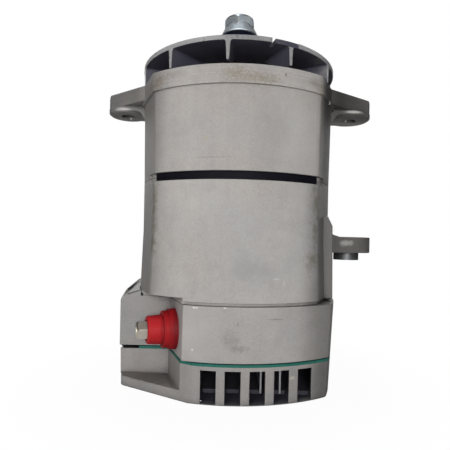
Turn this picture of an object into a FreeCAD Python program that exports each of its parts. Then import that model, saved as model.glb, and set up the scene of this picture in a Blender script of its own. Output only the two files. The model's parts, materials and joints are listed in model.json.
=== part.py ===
"""Heavy-duty vehicle alternator, built as the separate pieces it is assembled from.

The origin lies on the shaft axis in the rear face of the end cover. +Z runs along the shaft to the
drive end, +X to the pivot ears and -Y to the side that carries the output terminal notch.
"""

import FreeCAD, Part
import math
import os

Vector = FreeCAD.Vector
ORIGIN = Vector(0, 0, 0)
UP = Vector(0, 0, 1)

# How far cutters reach past the faces they open
over = 1.0

# Lengths along the shaft
cover_height = 34.9
gasket_thickness = 2.3
gasket_gap = 0.85
skirt_height = 50.45
rear_barrel_length = 116.4
drive_barrel_length = 97.0
lip_height = 17.1
fan_gap = 2.7
blade_height = 17.2
fan_disc_thickness = 4.0
fan_hub_rise = 7.0
pulley_seat_length = 33.4
shaft_washer_thickness = 7.0
shaft_nut_height = 18.0

# Casing section: a square with bowed faces and a flat along each corner
barrel_half_width = 98.9
barrel_half_depth = 97.0
barrel_face_radius = 130.0
barrel_corner_radius = 9.0
barrel_flat_start = 30.0
barrel_flat_angle = 23.3
barrel_draft = 1.1
barrel_flare = 2.2
barrel_straight_length = 50.0
lip_proud = 2.4
casing_wall = 6.5
least_corner_radius = 4.0
seam_groove_height = 2.8
seam_groove_depth = 1.6

# Rectifier housing and end cover: a squarer section with draft
skirt_side_step = 6.1
skirt_front_step = 2.6
skirt_side_radius = 195.0
skirt_front_radius = 155.0
skirt_corner_radius = 6.5
skirt_draft = 0.045
skirt_wall = 5.5
skirt_web_thickness = 5.0
skirt_web_width = 20.0
gasket_lip = 1.5
gasket_end = -96.0
cover_floor = 4.5
cover_edge_chamfer = 0.8
tongue_inset = 1.5
tongue_width = 1.5

# Pad that carries the lower lug
pad_height = 75.0
pad_slope_height = 9.0
pad_half_width = 50.0
pad_inset = 1.2

# Terminal block and its notch
block_overhang = 11.0
block_back = 45.0
block_back_radius = 14.0
block_shoulder_radius = 8.0
block_root_depth = 39.9
roof_gap = 0.3
roof_outer_height = 87.5
roof_slope = 0.36
roof_back_rise = 0.10
notch_depth = 62.6
notch_side_depth = 39.0
notch_wall_run = 18.3
notch_wall_depth = 49.4
notch_floor_height = 10.1
notch_roof_rise = 6.0
apron_side_inset = 5.6
apron_side_run = 12.0
apron_front_inset = 13.6
apron_corner_radius = 7.0

# Cooling slots of the end cover
slot_count = 5
slot_pitch = 22.0
slot_first = -21.8
slot_width = 14.4
slot_inner_width = 12.6
slot_depth = 36.0
slot_sill = 1.0
slot_top = 31.2
rib_depth = 16.0

# Stator
stator_inset = 3.5
stack_length = 52.0
band_height = 7.7
band_end_depth = 54.0
rotor_inset = 29.5
air_gap = 0.6
stator_slots = 36
stator_slot_width = 6.0
stator_slot_depth = 17.0
winding_gap = 0.3
winding_overhang = 24.0
winding_thickness = 14.0
winding_step = 1.0

# Through bolts
bolt_inset = 3.0
bolt_angle = 38.0
bolt_radius = 4.0
bolt_boss_radius = 7.5
bolt_head_flats = 13.0
bolt_head_height = 5.3
head_room = 1.0
bolt_engagement = 22.0
bolt_hole_gap = 0.4
thread_gap = 0.05
thread_room = 2.0

# Bearings
front_bearing_bore = 35.0
front_bearing_outside = 80.0
front_bearing_width = 21.0
front_balls = 7
front_ball_radius = 6.6
rear_bearing_bore = 25.0
rear_bearing_outside = 62.0
rear_bearing_width = 17.0
rear_rollers = 9
rear_roller_radius = 4.6
rear_roller_length = 9.0
ball_gap = 0.12
race_wall = 4.2
track_share = 0.62
cage_thickness = 2.2
cage_pocket_gap = 0.35
cage_rim = 1.4
cage_inset = 1.0

# Drive-end wall and hub
front_hub_drop = 4.0
front_hub_shoulder = 5.0
front_hub_wall = 8.5
front_hub_bore_gap = 1.0
end_wall_thickness = 7.0
front_window_count = 8
front_window_inner = 54.0
front_window_inset = 12.0
front_window_angle = 34.0
hub_rib_thickness = 5.0
retainer_thickness = 4.0
retainer_screw_count = 4
retainer_screw_radius = 2.5
retainer_head_radius = 4.2
retainer_head_height = 2.5

# Rear wall and hub
rear_wall_thickness = 7.5
rear_hub_shoulder = 4.0
rear_hub_wall = 7.5
rear_window_inner = 43.0
rear_window_inset = 19.0
rear_window_angle = 28.0
rear_window_angles = (-157.5, -112.5, -67.5, -22.5, 22.5, 157.5)

# Pivot and adjuster ears
pivot_reach = 23.7
adjuster_reach = 22.0
pivot_ear_radius = 22.5
adjuster_ear_radius = 20.5
ear_hole_radius = 7.5
ear_bottom_drop = 20.6
ear_root_inset = 14.0
ear_root_half_width = 48.5
ear_web_end_radius = 13.0
ear_web_nose = 2.4
ear_boss_height = 4.6
ear_fillet = 9.0
ear_land_height = 1.2
ear_land_inset = 1.6
lug_height = 153.2
lug_thickness = 16.7
lug_radius = 25.0
lug_root_half_width = 30.0
lug_rise = 5.0
bush_radius = 13.5
bush_bore_radius = 7.2
bush_length = 24.7
bush_protrusion = 8.0
bush_gap = 0.05

# Shaft
pulley_seat_radius = 12.5
fan_seat_radius = 15.0
rotor_seat_radius = 20.0
thread_radius = 10.0
thread_chamfer = 1.5
shaft_thread_short = 3.0
ring_seat_radius = 9.0
fit_gap = 0.02
key_width = 6.0
key_depth = 3.0
key_height = 5.4
pulley_key_length = 22.0
shaft_nut_flats = 30.0
shaft_nut_chamfer = 3.4
shaft_nut_turn = 22.0
spacer_step = 1.0
washer_top_radius = 16.6
washer_bottom_radius = 19.3
washer_edge = 1.6

# Rotor
claw_count = 6
claw_disc_thickness = 15.0
claw_disc_inset = 18.5
claw_length = 45.0
claw_root_width = 44.0
claw_tip_width = 17.0
claw_root_thickness = 13.0
claw_tip_thickness = 5.5
rotor_core_radius = 33.0
coil_inner_radius = 35.0
coil_inset = 17.0
bobbin_flange = 2.0
bobbin_gap = 0.5
ring_radius = 16.5
ring_width = 9.0
ring_pitch = 13.0
ring_thickness = 2.5
ring_step = 0.6
ring_carrier_margin = 3.0
shaft_tail_height = 50.0

# Fan
fan_radius = 102.0
blade_count = 11
blade_phase = -5.6
blade_inner_radius = 46.0
blade_tip_width = 2.3
blade_root_width = 3.9
blade_fillet = 2.4
blade_fillet_bend = 0.3
blade_overlap = 0.5
blade_heel_run = 20.0
blade_heel_rise = 12.0
blade_heel_angle = 30.0
fan_hub_radius = 30.0
fan_hub_drop = 3.6
fan_cone_radius = 44.0
fan_cone_height = 6.0
fan_hub_taper = 2.0
fan_notch_angle = 17.5
fan_notch_width = 3.5
fan_notch_depth = 9.0
fan_relief_start = 1.0
fan_relief_angle = 13.2
fan_relief_depth = 0.8

# Brush gear
brush_width = 10.0
brush_height = 6.4
brush_length = 18.0
brush_gap = 0.15
brush_wrap = 1.0
guide_gap = 0.1
holder_half_width = 13.0
holder_length = 46.0
holder_front = 20.0
holder_cap = 5.0
holder_margin = 4.0
holder_ring_room = 4.0
spring_coil_radius = 2.3
spring_wire = 0.9
spring_turns = 4.5

# Regulator
regulator_length = 48.0
regulator_width = 34.0
regulator_height = 15.0
regulator_inset = 11.2
regulator_front = 16.0
regulator_fins = 5
regulator_fin_height = 4.0
regulator_fin_inset = 2.0
regulator_fin_share = 0.4

# Rectifier
plate_thickness = 5.0
plate_gap = 8.0
post_length = 27.0
post_radius = 7.0
post_gap = 1.0
post_side_inset = 26.9
post_end_inset = 47.0
post_front_inset = 23.0
post_front_x = -16.0
rectifier_bolt_radius = 2.5
rectifier_bolt_grip = 12.0
rectifier_head_radius = 4.4
rectifier_head_height = 3.5
fin_count = 4
fin_pitch = 17.7
fin_first = -9.4
fin_thickness = 1.6
fin_drop = 31.5
cross_rib_thickness = 3.0
sink_clearance = 2.5
sink_inset = 17.0
centre_clearance = 26.0
diode_radius = 6.35
diode_height = 10.0
diode_lead_radius = 0.8
diode_lead_length = 4.0
diode_row_x = 42.0
diode_row_pitch = 22.0
diode_left_shift = 10.0
negative_diode_inset = 35.0

# Output terminal
terminal_run = 26.6
terminal_height = 61.1
stud_radius = 5.0
boot_flange_radius = 19.5
boot_flange_length = 7.0
boot_ring_radius = 17.3
boot_ring_length = 12.4
boot_neck_radius = 13.15
boot_length = 27.0
boot_mouth_radius = 9.6
boot_mouth_depth = 3.0
boot_flange_taper = 0.6
boot_ring_taper = 0.4
boot_neck_taper = 0.9
boot_edge = 1.2
terminal_nut_flats = 16.0
terminal_nut_height = 9.0
terminal_nut_chamfer = 1.4
terminal_washer_radius = 9.2
terminal_washer_thickness = 1.6
insulator_radius = 11.0
insulator_flange_radius = 15.0
insulator_flange = 3.0
bus_bar_width = 16.0
bus_bar_thickness = 2.5
inner_nut_height = 5.0
stud_end_margin = 1.5

# Screws that hold the rear castings together
cover_screw_radius = 3.0
cover_screw_head_radius = 5.0
cover_screw_head_height = 4.0
cover_screw_recess = 5.5
cover_boss_radius = 8.0
cover_screw_grip = 12.0
cover_boss_end = 4.0
cover_screw_side_inset = 17.5
cover_screw_front_inset = 15.6
cover_screw_side_y = 48.0
cover_screw_block_y = 34.0
cover_screw_front_x = -34.0
cover_screw_back_x = -30.0
skirt_screw_angles = (0.0, 70.0, 110.0, 180.0, 250.0, 290.0)
skirt_screw_inset = 11.0
skirt_screw_radius = 3.0
skirt_screw_head_radius = 5.0
skirt_screw_head_height = 4.0
skirt_screw_length = 11.0

# Heights worked out from the lengths above
z_skirt = cover_height + gasket_thickness + gasket_gap
z_seam = z_skirt + skirt_height
z_split = z_seam + rear_barrel_length
z_lip_top = z_split + drive_barrel_length
z_lip_bottom = z_lip_top - lip_height
z_blade_bottom = z_lip_top + fan_gap
z_disc_bottom = z_blade_bottom + blade_height
z_disc_top = z_disc_bottom + fan_disc_thickness
z_hub_top = z_disc_top + fan_hub_rise
z_washer = z_hub_top + pulley_seat_length
z_nut = z_washer + shaft_washer_thickness
z_top = z_nut + shaft_nut_height
z_stack_bottom = z_split - stack_length / 2
z_stack_top = z_split + stack_length / 2
z_end_wall_top = z_lip_bottom + end_wall_thickness
z_front_hub_top = z_lip_top - front_hub_drop
z_front_bearing_top = z_front_hub_top - front_hub_shoulder
z_front_bearing_bottom = z_front_bearing_top - front_bearing_width
z_fan_hub_bottom = z_blade_bottom - fan_hub_drop
z_rear_bearing_bottom = z_seam + rear_hub_shoulder
z_rear_bearing_top = z_rear_bearing_bottom + rear_bearing_width
z_positive_plate = z_seam - skirt_web_thickness - post_length - plate_gap - 2 * plate_thickness
z_negative_plate = z_positive_plate + plate_thickness + plate_gap
z_post_bottom = z_negative_plate + plate_thickness
z_ring_low = shaft_tail_height + ring_carrier_margin + ring_width / 2
z_ring_high = z_ring_low + ring_pitch

# Places worked out from the casing
casing_reach = min(barrel_half_width, barrel_half_depth)
rotor_radius = casing_reach - rotor_inset
stator_bore = rotor_radius + air_gap
claw_disc_radius = rotor_radius - claw_disc_inset
coil_outer_radius = rotor_radius - coil_inset
skirt_half_width = barrel_half_width + skirt_side_step
skirt_half_depth = barrel_half_depth + skirt_front_step
block_reach = skirt_half_width + block_overhang
block_root = barrel_half_width - block_root_depth
notch_back = notch_depth - skirt_half_depth
notch_corner = notch_side_depth - skirt_half_width
apron_left = Vector(apron_side_inset - block_reach, notch_back - apron_side_run, 0)
apron_right = Vector(notch_corner + notch_wall_run, apron_front_inset - skirt_half_depth, 0)
bolt_circle_radius = casing_reach - bolt_inset
front_window_outer = casing_reach - front_window_inset
rear_window_outer = casing_reach - rear_window_inset
pivot_offset = barrel_half_width + pivot_reach
adjuster_offset = barrel_half_width + adjuster_reach
post_x = barrel_half_width - post_side_inset
post_y = barrel_half_depth - post_end_inset
post_places = ((post_x, post_y), (-post_x, post_y), (post_x, -post_y),
               (post_front_x, post_front_inset - barrel_half_depth))
sink_half_depth = barrel_half_depth - sink_inset
negative_diode_x = skirt_half_width - negative_diode_inset
regulator_right = barrel_half_width - skirt_web_width - regulator_inset
regulator_left = regulator_right - regulator_length
cover_screw_x = skirt_half_width - cover_screw_side_inset
cover_screw_y = skirt_half_depth - cover_screw_front_inset
cover_screw_places = ((cover_screw_x, cover_screw_side_y), (cover_screw_x, -cover_screw_side_y),
                      (-cover_screw_x, cover_screw_block_y), (cover_screw_front_x, -cover_screw_y),
                      (cover_screw_back_x, cover_screw_y))
skirt_screw_circle = casing_reach - skirt_screw_inset

# Each section holds half width, half depth, side radius, front radius, corner radius and the
# distance of the corner flats from the axis, which is zero where a section has no flats
flat_normal = Vector(math.cos(math.radians(barrel_flat_angle)), math.sin(math.radians(barrel_flat_angle)), 0)
flat_foot = Vector(barrel_half_width - barrel_face_radius
                   + math.sqrt(barrel_face_radius ** 2 - barrel_flat_start ** 2), barrel_flat_start, 0)
BARREL = (barrel_half_width, barrel_half_depth, barrel_face_radius, barrel_face_radius,
          barrel_corner_radius, flat_normal.dot(flat_foot))


def skirt_section(height):
    """Casing section of the skirt and cover, which narrow towards the rear face."""
    shrink = skirt_draft * (z_seam - height)
    return (skirt_half_width - shrink, skirt_half_depth - shrink, skirt_side_radius,
            skirt_front_radius, skirt_corner_radius, 0.0)


def inset(section, distance):
    """The same section with its walls moved inwards."""
    half_width, half_depth, side_radius, front_radius, corner, flat = section
    return (half_width - distance, half_depth - distance, side_radius - distance,
            front_radius - distance, max(corner - distance, least_corner_radius),
            flat - distance if flat else 0.0)


def arc_middle(centre, first, last):
    """Point halfway along the short arc between two points round a centre."""
    heading = (first - centre) + (last - centre)
    return centre + heading.normalize() * (first - centre).Length


def mirrored_wire(quarter, height):
    """Closed outline from the runs of its first quadrant, given from the side to the back."""
    edges = []
    for sign_x, sign_y in ((1, 1), (-1, 1), (-1, -1), (1, -1)):
        for run in quarter:
            points = [Vector(p.x * sign_x, p.y * sign_y, height) for p in run]
            edges.append(Part.Arc(*points).toShape() if len(points) == 3 else Part.makeLine(*points))
    return Part.Wire(Part.sortEdges(edges)[0])


def flat_corner_wire(section, height):
    """Casing outline whose corners carry a flat between the side and a small corner arc."""
    half_width, half_depth, side_radius, front_radius, corner, flat = section
    along = Vector(-flat_normal.y, flat_normal.x, 0)
    side_centre = Vector(half_width - side_radius, 0, 0)
    front_centre = Vector(0, half_depth - front_radius, 0)

    def on_line(distance, centre, radius, nearest):
        """Crossing of a line parallel to the flat with a circle."""
        foot = flat_normal * distance
        offset = (foot - centre).dot(along)
        across = (foot - centre).dot(flat_normal)
        reach = math.sqrt(radius ** 2 - across ** 2)
        return foot + along * (-offset + (-reach if nearest else reach))

    on_side = on_line(flat, side_centre, side_radius, True)
    centre = on_line(flat - corner, front_centre, front_radius - corner, False)
    on_flat = centre + flat_normal * corner
    outward = (centre - front_centre).normalize()
    on_front = front_centre + outward * front_radius
    side, back = Vector(half_width, 0, 0), Vector(0, half_depth, 0)
    quarter = ((side, arc_middle(side_centre, side, on_side), on_side), (on_side, on_flat),
               (on_flat, arc_middle(centre, on_flat, on_front), on_front),
               (on_front, arc_middle(front_centre, on_front, back), back))
    return mirrored_wire(quarter, height)


def casing_wire(section, height):
    """Four bowed faces joined by tangent corner arcs, at one height."""
    half_width, half_depth, side_radius, front_radius, corner, flat = section
    if flat:
        return flat_corner_wire(section, height)
    front_centre = Vector(0, half_depth - front_radius, 0)
    side_centre = Vector(half_width - side_radius, 0, 0)
    reach_front = front_radius - corner
    reach_side = side_radius - corner
    between = side_centre - front_centre
    distance = between.Length
    along = (distance ** 2 + reach_front ** 2 - reach_side ** 2) / (2 * distance)
    across = math.sqrt(reach_front ** 2 - along ** 2)
    step = between / distance
    candidates = [front_centre + step * along + Vector(-step.y, step.x, 0) * (across * sign)
                  for sign in (-1, 1)]
    centre = max(candidates, key=lambda point: point.x + point.y)
    on_front = front_centre + (centre - front_centre) / reach_front * front_radius
    on_side = side_centre + (centre - side_centre) / reach_side * side_radius
    middle = (on_front - centre) + (on_side - centre)
    on_corner = centre + middle / middle.Length * corner

    def place(point, sign_x, sign_y):
        return Vector(point.x * sign_x, point.y * sign_y, height)

    right = Vector(half_width, 0, height)
    left = Vector(-half_width, 0, height)
    back = Vector(0, half_depth, height)
    front = Vector(0, -half_depth, height)
    runs = (
        (place(on_side, 1, -1), right, place(on_side, 1, 1)),
        (place(on_side, 1, 1), place(on_corner, 1, 1), place(on_front, 1, 1)),
        (place(on_front, 1, 1), back, place(on_front, -1, 1)),
        (place(on_front, -1, 1), place(on_corner, -1, 1), place(on_side, -1, 1)),
        (place(on_side, -1, 1), left, place(on_side, -1, -1)),
        (place(on_side, -1, -1), place(on_corner, -1, -1), place(on_front, -1, -1)),
        (place(on_front, -1, -1), front, place(on_front, 1, -1)),
        (place(on_front, 1, -1), place(on_corner, 1, -1), place(on_side, 1, -1)),
    )
    return Part.Wire([Part.Arc(*run).toShape() for run in runs])


def casing_loft(bottom_section, bottom, top_section, top):
    """Straight-sided solid between two casing sections."""
    wires = [casing_wire(bottom_section, bottom), casing_wire(top_section, top)]
    return Part.makeLoft(wires, True, True)


def casing_prism(section, bottom, top):
    """Casing section carried straight up."""
    return Part.Face(casing_wire(section, bottom)).extrude(Vector(0, 0, top - bottom))


def cylinder(radius, bottom, top, x=0.0, y=0.0):
    """Upright cylinder between two heights."""
    return Part.makeCylinder(radius, top - bottom, Vector(x, y, bottom), UP)


def ring(outer, inner, bottom, top, x=0.0, y=0.0):
    """Upright tube between two heights."""
    return cylinder(outer, bottom, top, x, y).cut(cylinder(inner, bottom, top, x, y))


def box(low_x, low_y, low_z, high_x, high_y, high_z):
    """Box between two corners."""
    return Part.makeBox(high_x - low_x, high_y - low_y, high_z - low_z, Vector(low_x, low_y, low_z))


def polygon_prism(points, bottom, top):
    """Flat outline given as (x, y) pairs, carried up from one height to another."""
    corners = [Vector(x, y, bottom) for x, y in points]
    wire = Part.makePolygon(corners + corners[:1])
    return Part.Face(wire).extrude(Vector(0, 0, top - bottom))


def revolved(profile):
    """Solid of revolution about the shaft axis from (radius, height) points."""
    corners = [Vector(radius, 0, height) for radius, height in profile]
    wire = Part.makePolygon(corners + corners[:1])
    return Part.Face(wire).revolve(ORIGIN, UP, 360)


def turned(shape, angle):
    """Copy of a shape turned about the shaft axis, in degrees."""
    copy = shape.copy()
    copy.rotate(ORIGIN, UP, angle)
    return copy


def polar_copies(shape, count, first=0.0):
    """Equal copies round the shaft axis."""
    return [turned(shape, first + 360.0 * index / count) for index in range(count)]


def joined(shapes):
    """One solid from overlapping or touching shapes."""
    first, rest = shapes[0], list(shapes[1:])
    return first.fuse(rest).removeSplitter() if rest else first


def sector(inner, outer, angle, bottom, top, middle):
    """Kidney window cutter: a ring sector centred on an angle, in degrees."""
    outer_part = Part.makeCylinder(outer, top - bottom, Vector(0, 0, bottom), UP, angle)
    cutter = outer_part.cut(cylinder(inner, bottom, top))
    return turned(cutter, middle - angle / 2)


def hexagon(flats, bottom, top, chamfer=0.0):
    """Hexagonal prism about the shaft axis, its top corners turned off at thirty degrees."""
    corner = flats / 2 / math.cos(math.radians(30))
    points = [(corner * math.cos(math.radians(60 * k)), corner * math.sin(math.radians(60 * k)))
              for k in range(6)]
    prism = polygon_prism(points, bottom, top)
    if not chamfer:
        return prism
    slope = chamfer * math.tan(math.radians(30))
    envelope = revolved([(0, bottom), (corner, bottom), (corner, top - chamfer),
                         (flats / 2 - slope, top), (0, top)])
    return prism.common(envelope)


def bolt_places():
    """Axes of the four through bolts."""
    x = bolt_circle_radius * math.cos(math.radians(bolt_angle))
    y = bolt_circle_radius * math.sin(math.radians(bolt_angle))
    return [(x, y), (-x, y), (-x, -y), (x, -y)]


def bolt_bosses(bottom, top, gap=0.0):
    """Columns round the through bolts."""
    return [cylinder(bolt_boss_radius + gap, bottom, top, x, y) for x, y in bolt_places()]


def barrel_outside():
    """Outer form of the rear barrel: straight near the stator, flared towards the seam."""
    z_flare = z_split - barrel_straight_length
    flared = inset(BARREL, -barrel_flare)
    upper = casing_prism(BARREL, z_flare, z_split)
    lower = casing_loft(flared, z_seam, BARREL, z_flare)
    return upper, lower


def stack_pocket(bottom, top, gap=0.0):
    """Room for the laminations: the casing section set in, less the bolt columns."""
    pocket = casing_prism(inset(BARREL, stator_inset + gap), bottom, top)
    return pocket.cut(bolt_bosses(bottom, top, gap))


def band_windows():
    """Long windows in the front and back faces that show the laminations between the housings.

    They are cut to a flat plane, so they run out where the bowed faces fall behind it.
    """
    half = band_height / 2
    window = box(-2 * barrel_half_width, band_end_depth, z_split - half, 2 * barrel_half_width,
                 2 * barrel_half_depth, z_split + half)
    low, high = z_split - band_height, z_split + band_height
    window = window.cut([stack_pocket(low, high)] + bolt_bosses(low, high))
    return [window, turned(window, 180)]


def lug(side, profile, reach, radius, root_half_width, root):
    """Lug that sticks out along X: a side profile cut to a tapering plan with a round end."""
    half_width = max(radius, root_half_width)
    corners = [Vector(side * x, -half_width, z) for x, z in profile]
    body = Part.Face(Part.makePolygon(corners + corners[:1])).extrude(Vector(0, 2 * half_width, 0))
    low = min(z for x, z in profile)
    high = max(z for x, z in profile)
    distance = math.hypot(reach - root, root_half_width)
    heading = math.asin(radius / distance) - math.atan2(root_half_width, reach - root)
    run = math.sqrt(distance ** 2 - radius ** 2)
    touch_x = root + run * math.cos(heading)
    touch_y = root_half_width + run * math.sin(heading)
    plan_points = [(side * root, -root_half_width), (side * touch_x, -touch_y),
                   (side * reach, 0.0), (side * touch_x, touch_y), (side * root, root_half_width)]
    plan = joined([polygon_prism(plan_points, low, high), cylinder(radius, low, high, side * reach)])
    return body.common(plan)


def drive_end_housing():
    """Front casting: barrel, lip, bearing hub, windowed end wall and the two upper ears."""
    top_section = inset(BARREL, -barrel_draft)
    lip_section = inset(top_section, -lip_proud)
    barrel = casing_loft(BARREL, z_split, top_section, z_lip_bottom)
    lip = casing_prism(lip_section, z_lip_bottom, z_lip_top)
    ears = [upper_ear(-1, adjuster_offset, adjuster_ear_radius),
            upper_ear(1, pivot_offset, pivot_ear_radius)]
    body = joined([barrel, lip] + ears)

    chamber = casing_loft(inset(BARREL, casing_wall), z_stack_top, inset(top_section, casing_wall),
                          z_lip_bottom)
    chamber = chamber.cut(bolt_bosses(z_stack_top, z_lip_bottom))
    well = casing_prism(inset(top_section, casing_wall), z_end_wall_top, z_lip_top)
    fan_room = cylinder(fan_radius + fan_gap / 2, z_lip_top, z_top)
    body = body.cut([stack_pocket(z_split, z_stack_top), chamber, well, fan_room])

    pocket_radius = front_bearing_outside / 2
    hub = cylinder(pocket_radius + front_hub_wall, z_front_bearing_bottom, z_front_hub_top)
    rib_reach = barrel_half_depth - casing_wall
    rib = box(pocket_radius, -hub_rib_thickness / 2, z_front_bearing_bottom + front_hub_wall,
              rib_reach, hub_rib_thickness / 2, z_lip_bottom)
    ribs = polar_copies(rib, front_window_count, 180.0 / front_window_count)
    body = joined([body, hub] + ribs)

    cutters = [cylinder(pocket_radius, z_front_bearing_bottom, z_front_bearing_top),
               cylinder(spacer_radius() + front_hub_bore_gap, z_front_bearing_top, z_front_hub_top)]
    window = sector(front_window_inner, front_window_outer, front_window_angle, z_lip_bottom,
                    z_end_wall_top, 0)
    cutters += polar_copies(window, front_window_count)
    cutters += band_windows()
    for x, y in bolt_places():
        cutters.append(cylinder(bolt_radius + bolt_hole_gap, z_split, z_end_wall_top, x, y))
        cutters.append(cylinder(bolt_head_flats / 2 / math.cos(math.radians(30)) + head_room,
                                z_end_wall_top, z_lip_top, x, y))
    cutters += [cylinder(retainer_screw_radius + thread_gap, z_front_bearing_bottom,
                         z_front_bearing_bottom + 3 * retainer_thickness, x, y)
                for x, y in retainer_screw_places()]
    return body.cut(cutters)


def upper_ear(side, offset, radius):
    """Pivot or adjuster ear: a wide web flush with the lip over a foot with a round boss."""
    z_bottom = z_lip_top - ear_bottom_drop
    z_land = z_bottom + ear_land_height
    z_web = z_land + ear_boss_height
    z_nose = z_lip_top - ear_web_nose
    end = offset + radius
    root = barrel_half_width - ear_root_inset
    web_profile = [(root, z_web), (end, z_web), (end, z_nose), (end - ear_web_nose, z_lip_top),
                   (root, z_lip_top)]
    web = lug(side, web_profile, end - ear_web_end_radius, ear_web_end_radius, ear_root_half_width,
              root)
    arc_x = barrel_half_width + barrel_draft + ear_fillet
    arc_z = z_land - ear_fillet
    foot_profile = [(root, arc_z), (arc_x, arc_z), (arc_x, z_land), (end, z_land), (end, z_web),
                    (root, z_web)]
    foot = lug(side, foot_profile, offset, radius, radius, root)
    hollow = Part.makeCylinder(ear_fillet, 4 * radius, Vector(side * arc_x, -2 * radius, arc_z),
                               Vector(0, 1, 0))
    land = cylinder(radius - ear_land_inset, z_bottom, z_land, side * offset)
    hole = cylinder(ear_hole_radius, arc_z, z_lip_top, side * offset)
    return joined([web, foot.cut(hollow), land]).cut(hole)


def spacer_radius():
    """Outer radius of the ring between the front bearing and the fan hub."""
    return front_bearing_bore / 2 + race_wall + spacer_step


def retainer_screw_places():
    """Axes of the screws that hold the bearing retainer."""
    radius = front_bearing_outside / 2 + front_hub_wall / 2
    turns = [2 * math.pi * (index + 0.5) / retainer_screw_count for index in range(retainer_screw_count)]
    return [(radius * math.cos(turn), radius * math.sin(turn)) for turn in turns]


def rear_housing():
    """Rear casting: flared barrel, lug pad, lower lug, bearing hub and windowed rear wall."""
    upper, lower = barrel_outside()
    pad = lug_pad()
    body = joined([upper, lower, pad, lower_lug()])
    z_wall_top = z_seam + rear_wall_thickness
    chamber = casing_prism(inset(BARREL, casing_wall), z_wall_top, z_stack_bottom)
    z_thread = z_stack_bottom - bolt_engagement
    chamber = chamber.cut(bolt_bosses(z_thread - bolt_boss_radius, z_stack_bottom))
    body = body.cut([stack_pocket(z_stack_bottom, z_split), chamber])

    pocket_radius = rear_bearing_outside / 2
    hub = cylinder(pocket_radius + rear_hub_wall, z_seam, z_rear_bearing_top)
    body = joined([body, hub])
    groove = casing_prism(inset(skirt_section(z_seam), -casing_wall), z_seam, z_seam + seam_groove_height)
    groove = groove.cut(casing_prism(inset(BARREL, seam_groove_depth - barrel_flare), z_seam,
                                     z_seam + seam_groove_height))
    cutters = [groove,
               cylinder(pocket_radius, z_rear_bearing_bottom, z_rear_bearing_top),
               cylinder(rear_bearing_bore / 2 + race_wall, z_seam, z_rear_bearing_bottom)]
    cutters += [sector(rear_window_inner, rear_window_outer, rear_window_angle, z_seam, z_wall_top,
                       angle) for angle in rear_window_angles]
    cutters += band_windows()
    cutters += [cylinder(bolt_radius + thread_gap, z_thread, z_split, x, y) for x, y in bolt_places()]
    cutters += [cylinder(skirt_screw_radius + thread_gap, z_seam, z_seam + rear_wall_thickness, x, y)
                for x, y in skirt_screw_places()]
    cutters.append(notch_prism(0.0, z_seam, z_seam + notch_roof_rise))
    return body.cut(cutters)


def lug_pad():
    """Squarer stretch of the right side, from the seam up past the lug."""
    z_pad_top = z_seam + pad_height
    section = inset(skirt_section(z_seam), pad_inset)
    upper = inset(section, pad_inset)
    low = casing_loft(section, z_seam, upper, z_pad_top)
    top = casing_loft(upper, z_pad_top, inset(upper, pad_slope_height / 2),
                      z_pad_top + pad_slope_height)
    keep = box(0, -pad_half_width, z_seam, 2 * barrel_half_width, pad_half_width,
               z_pad_top + pad_slope_height)
    return joined([low, top]).common(keep)


def lower_lug():
    """Lug for the sliding bush, in line with the pivot ear above it."""
    z_bottom = lug_height - lug_thickness
    end = pivot_offset + lug_radius
    root = barrel_half_width - casing_wall
    profile = [(root, z_bottom), (end, z_bottom), (end, lug_height),
               (pivot_offset - bush_radius, lug_height), (root, lug_height + lug_rise)]
    hole = cylinder(bush_radius + bush_gap, z_bottom, lug_height + lug_rise, pivot_offset)
    return lug(1, profile, pivot_offset, lug_radius, lug_root_half_width, root).cut(hole)


def notch_prism(grow, bottom, top):
    """Cutter for the terminal notch; grow moves its two walls into the casting."""
    lean = math.atan2(notch_wall_run, notch_wall_depth)
    back = notch_back + grow
    corner_x = notch_corner + grow * (math.cos(lean) + (math.sin(lean) - 1) * math.tan(lean))
    far = -2 * skirt_half_depth
    run = (back - far) * math.tan(lean)
    outer = -2 * block_reach
    return polygon_prism([(corner_x, back), (outer, back), (outer, far), (corner_x + run, far)],
                         bottom, top)


def block_prism(grow, bottom, top):
    """Plan of the terminal block, a rounded rectangle on the left side."""
    left = -block_reach - grow
    front = notch_back * 2
    back = block_back + grow
    radius = block_back_radius + grow
    body = box(left, front, bottom, 0, back, top)
    corner = box(left, back - radius, bottom, left + radius, back, top)
    corner = corner.cut(cylinder(radius, bottom, top, left + radius, back - radius))
    return body.cut(corner)


def apron_cutter(grow, bottom, top):
    """Cutter that trims the front left corner to the slanting apron under the notch."""
    along = apron_right - apron_left
    along.normalize()
    outward = Vector(along.y, -along.x, 0)
    start = apron_left - along * 4 * block_reach + outward * grow
    end = apron_right + along * 4 * block_reach + outward * grow
    far_start = start + outward * 2 * block_reach
    far_end = end + outward * 2 * block_reach
    points = [(p.x, p.y) for p in (start, end, far_end, far_start)]
    return polygon_prism(points, bottom, top)


def skirt_solid(grow, bottom, top):
    """Skirt and block in plan between two heights, without the notch."""
    grown_bottom = inset(skirt_section(bottom), -grow)
    grown_top = inset(skirt_section(top), -grow)
    body = joined([casing_loft(grown_bottom, bottom, grown_top, top), block_prism(grow, bottom, top)])
    return body.cut(apron_cutter(grow, bottom, top))


def skirt_screw_places():
    """Axes of the screws between the rectifier housing and the rear housing."""
    turns = [math.radians(angle) for angle in skirt_screw_angles]
    return [(skirt_screw_circle * math.cos(turn), skirt_screw_circle * math.sin(turn)) for turn in turns]


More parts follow.
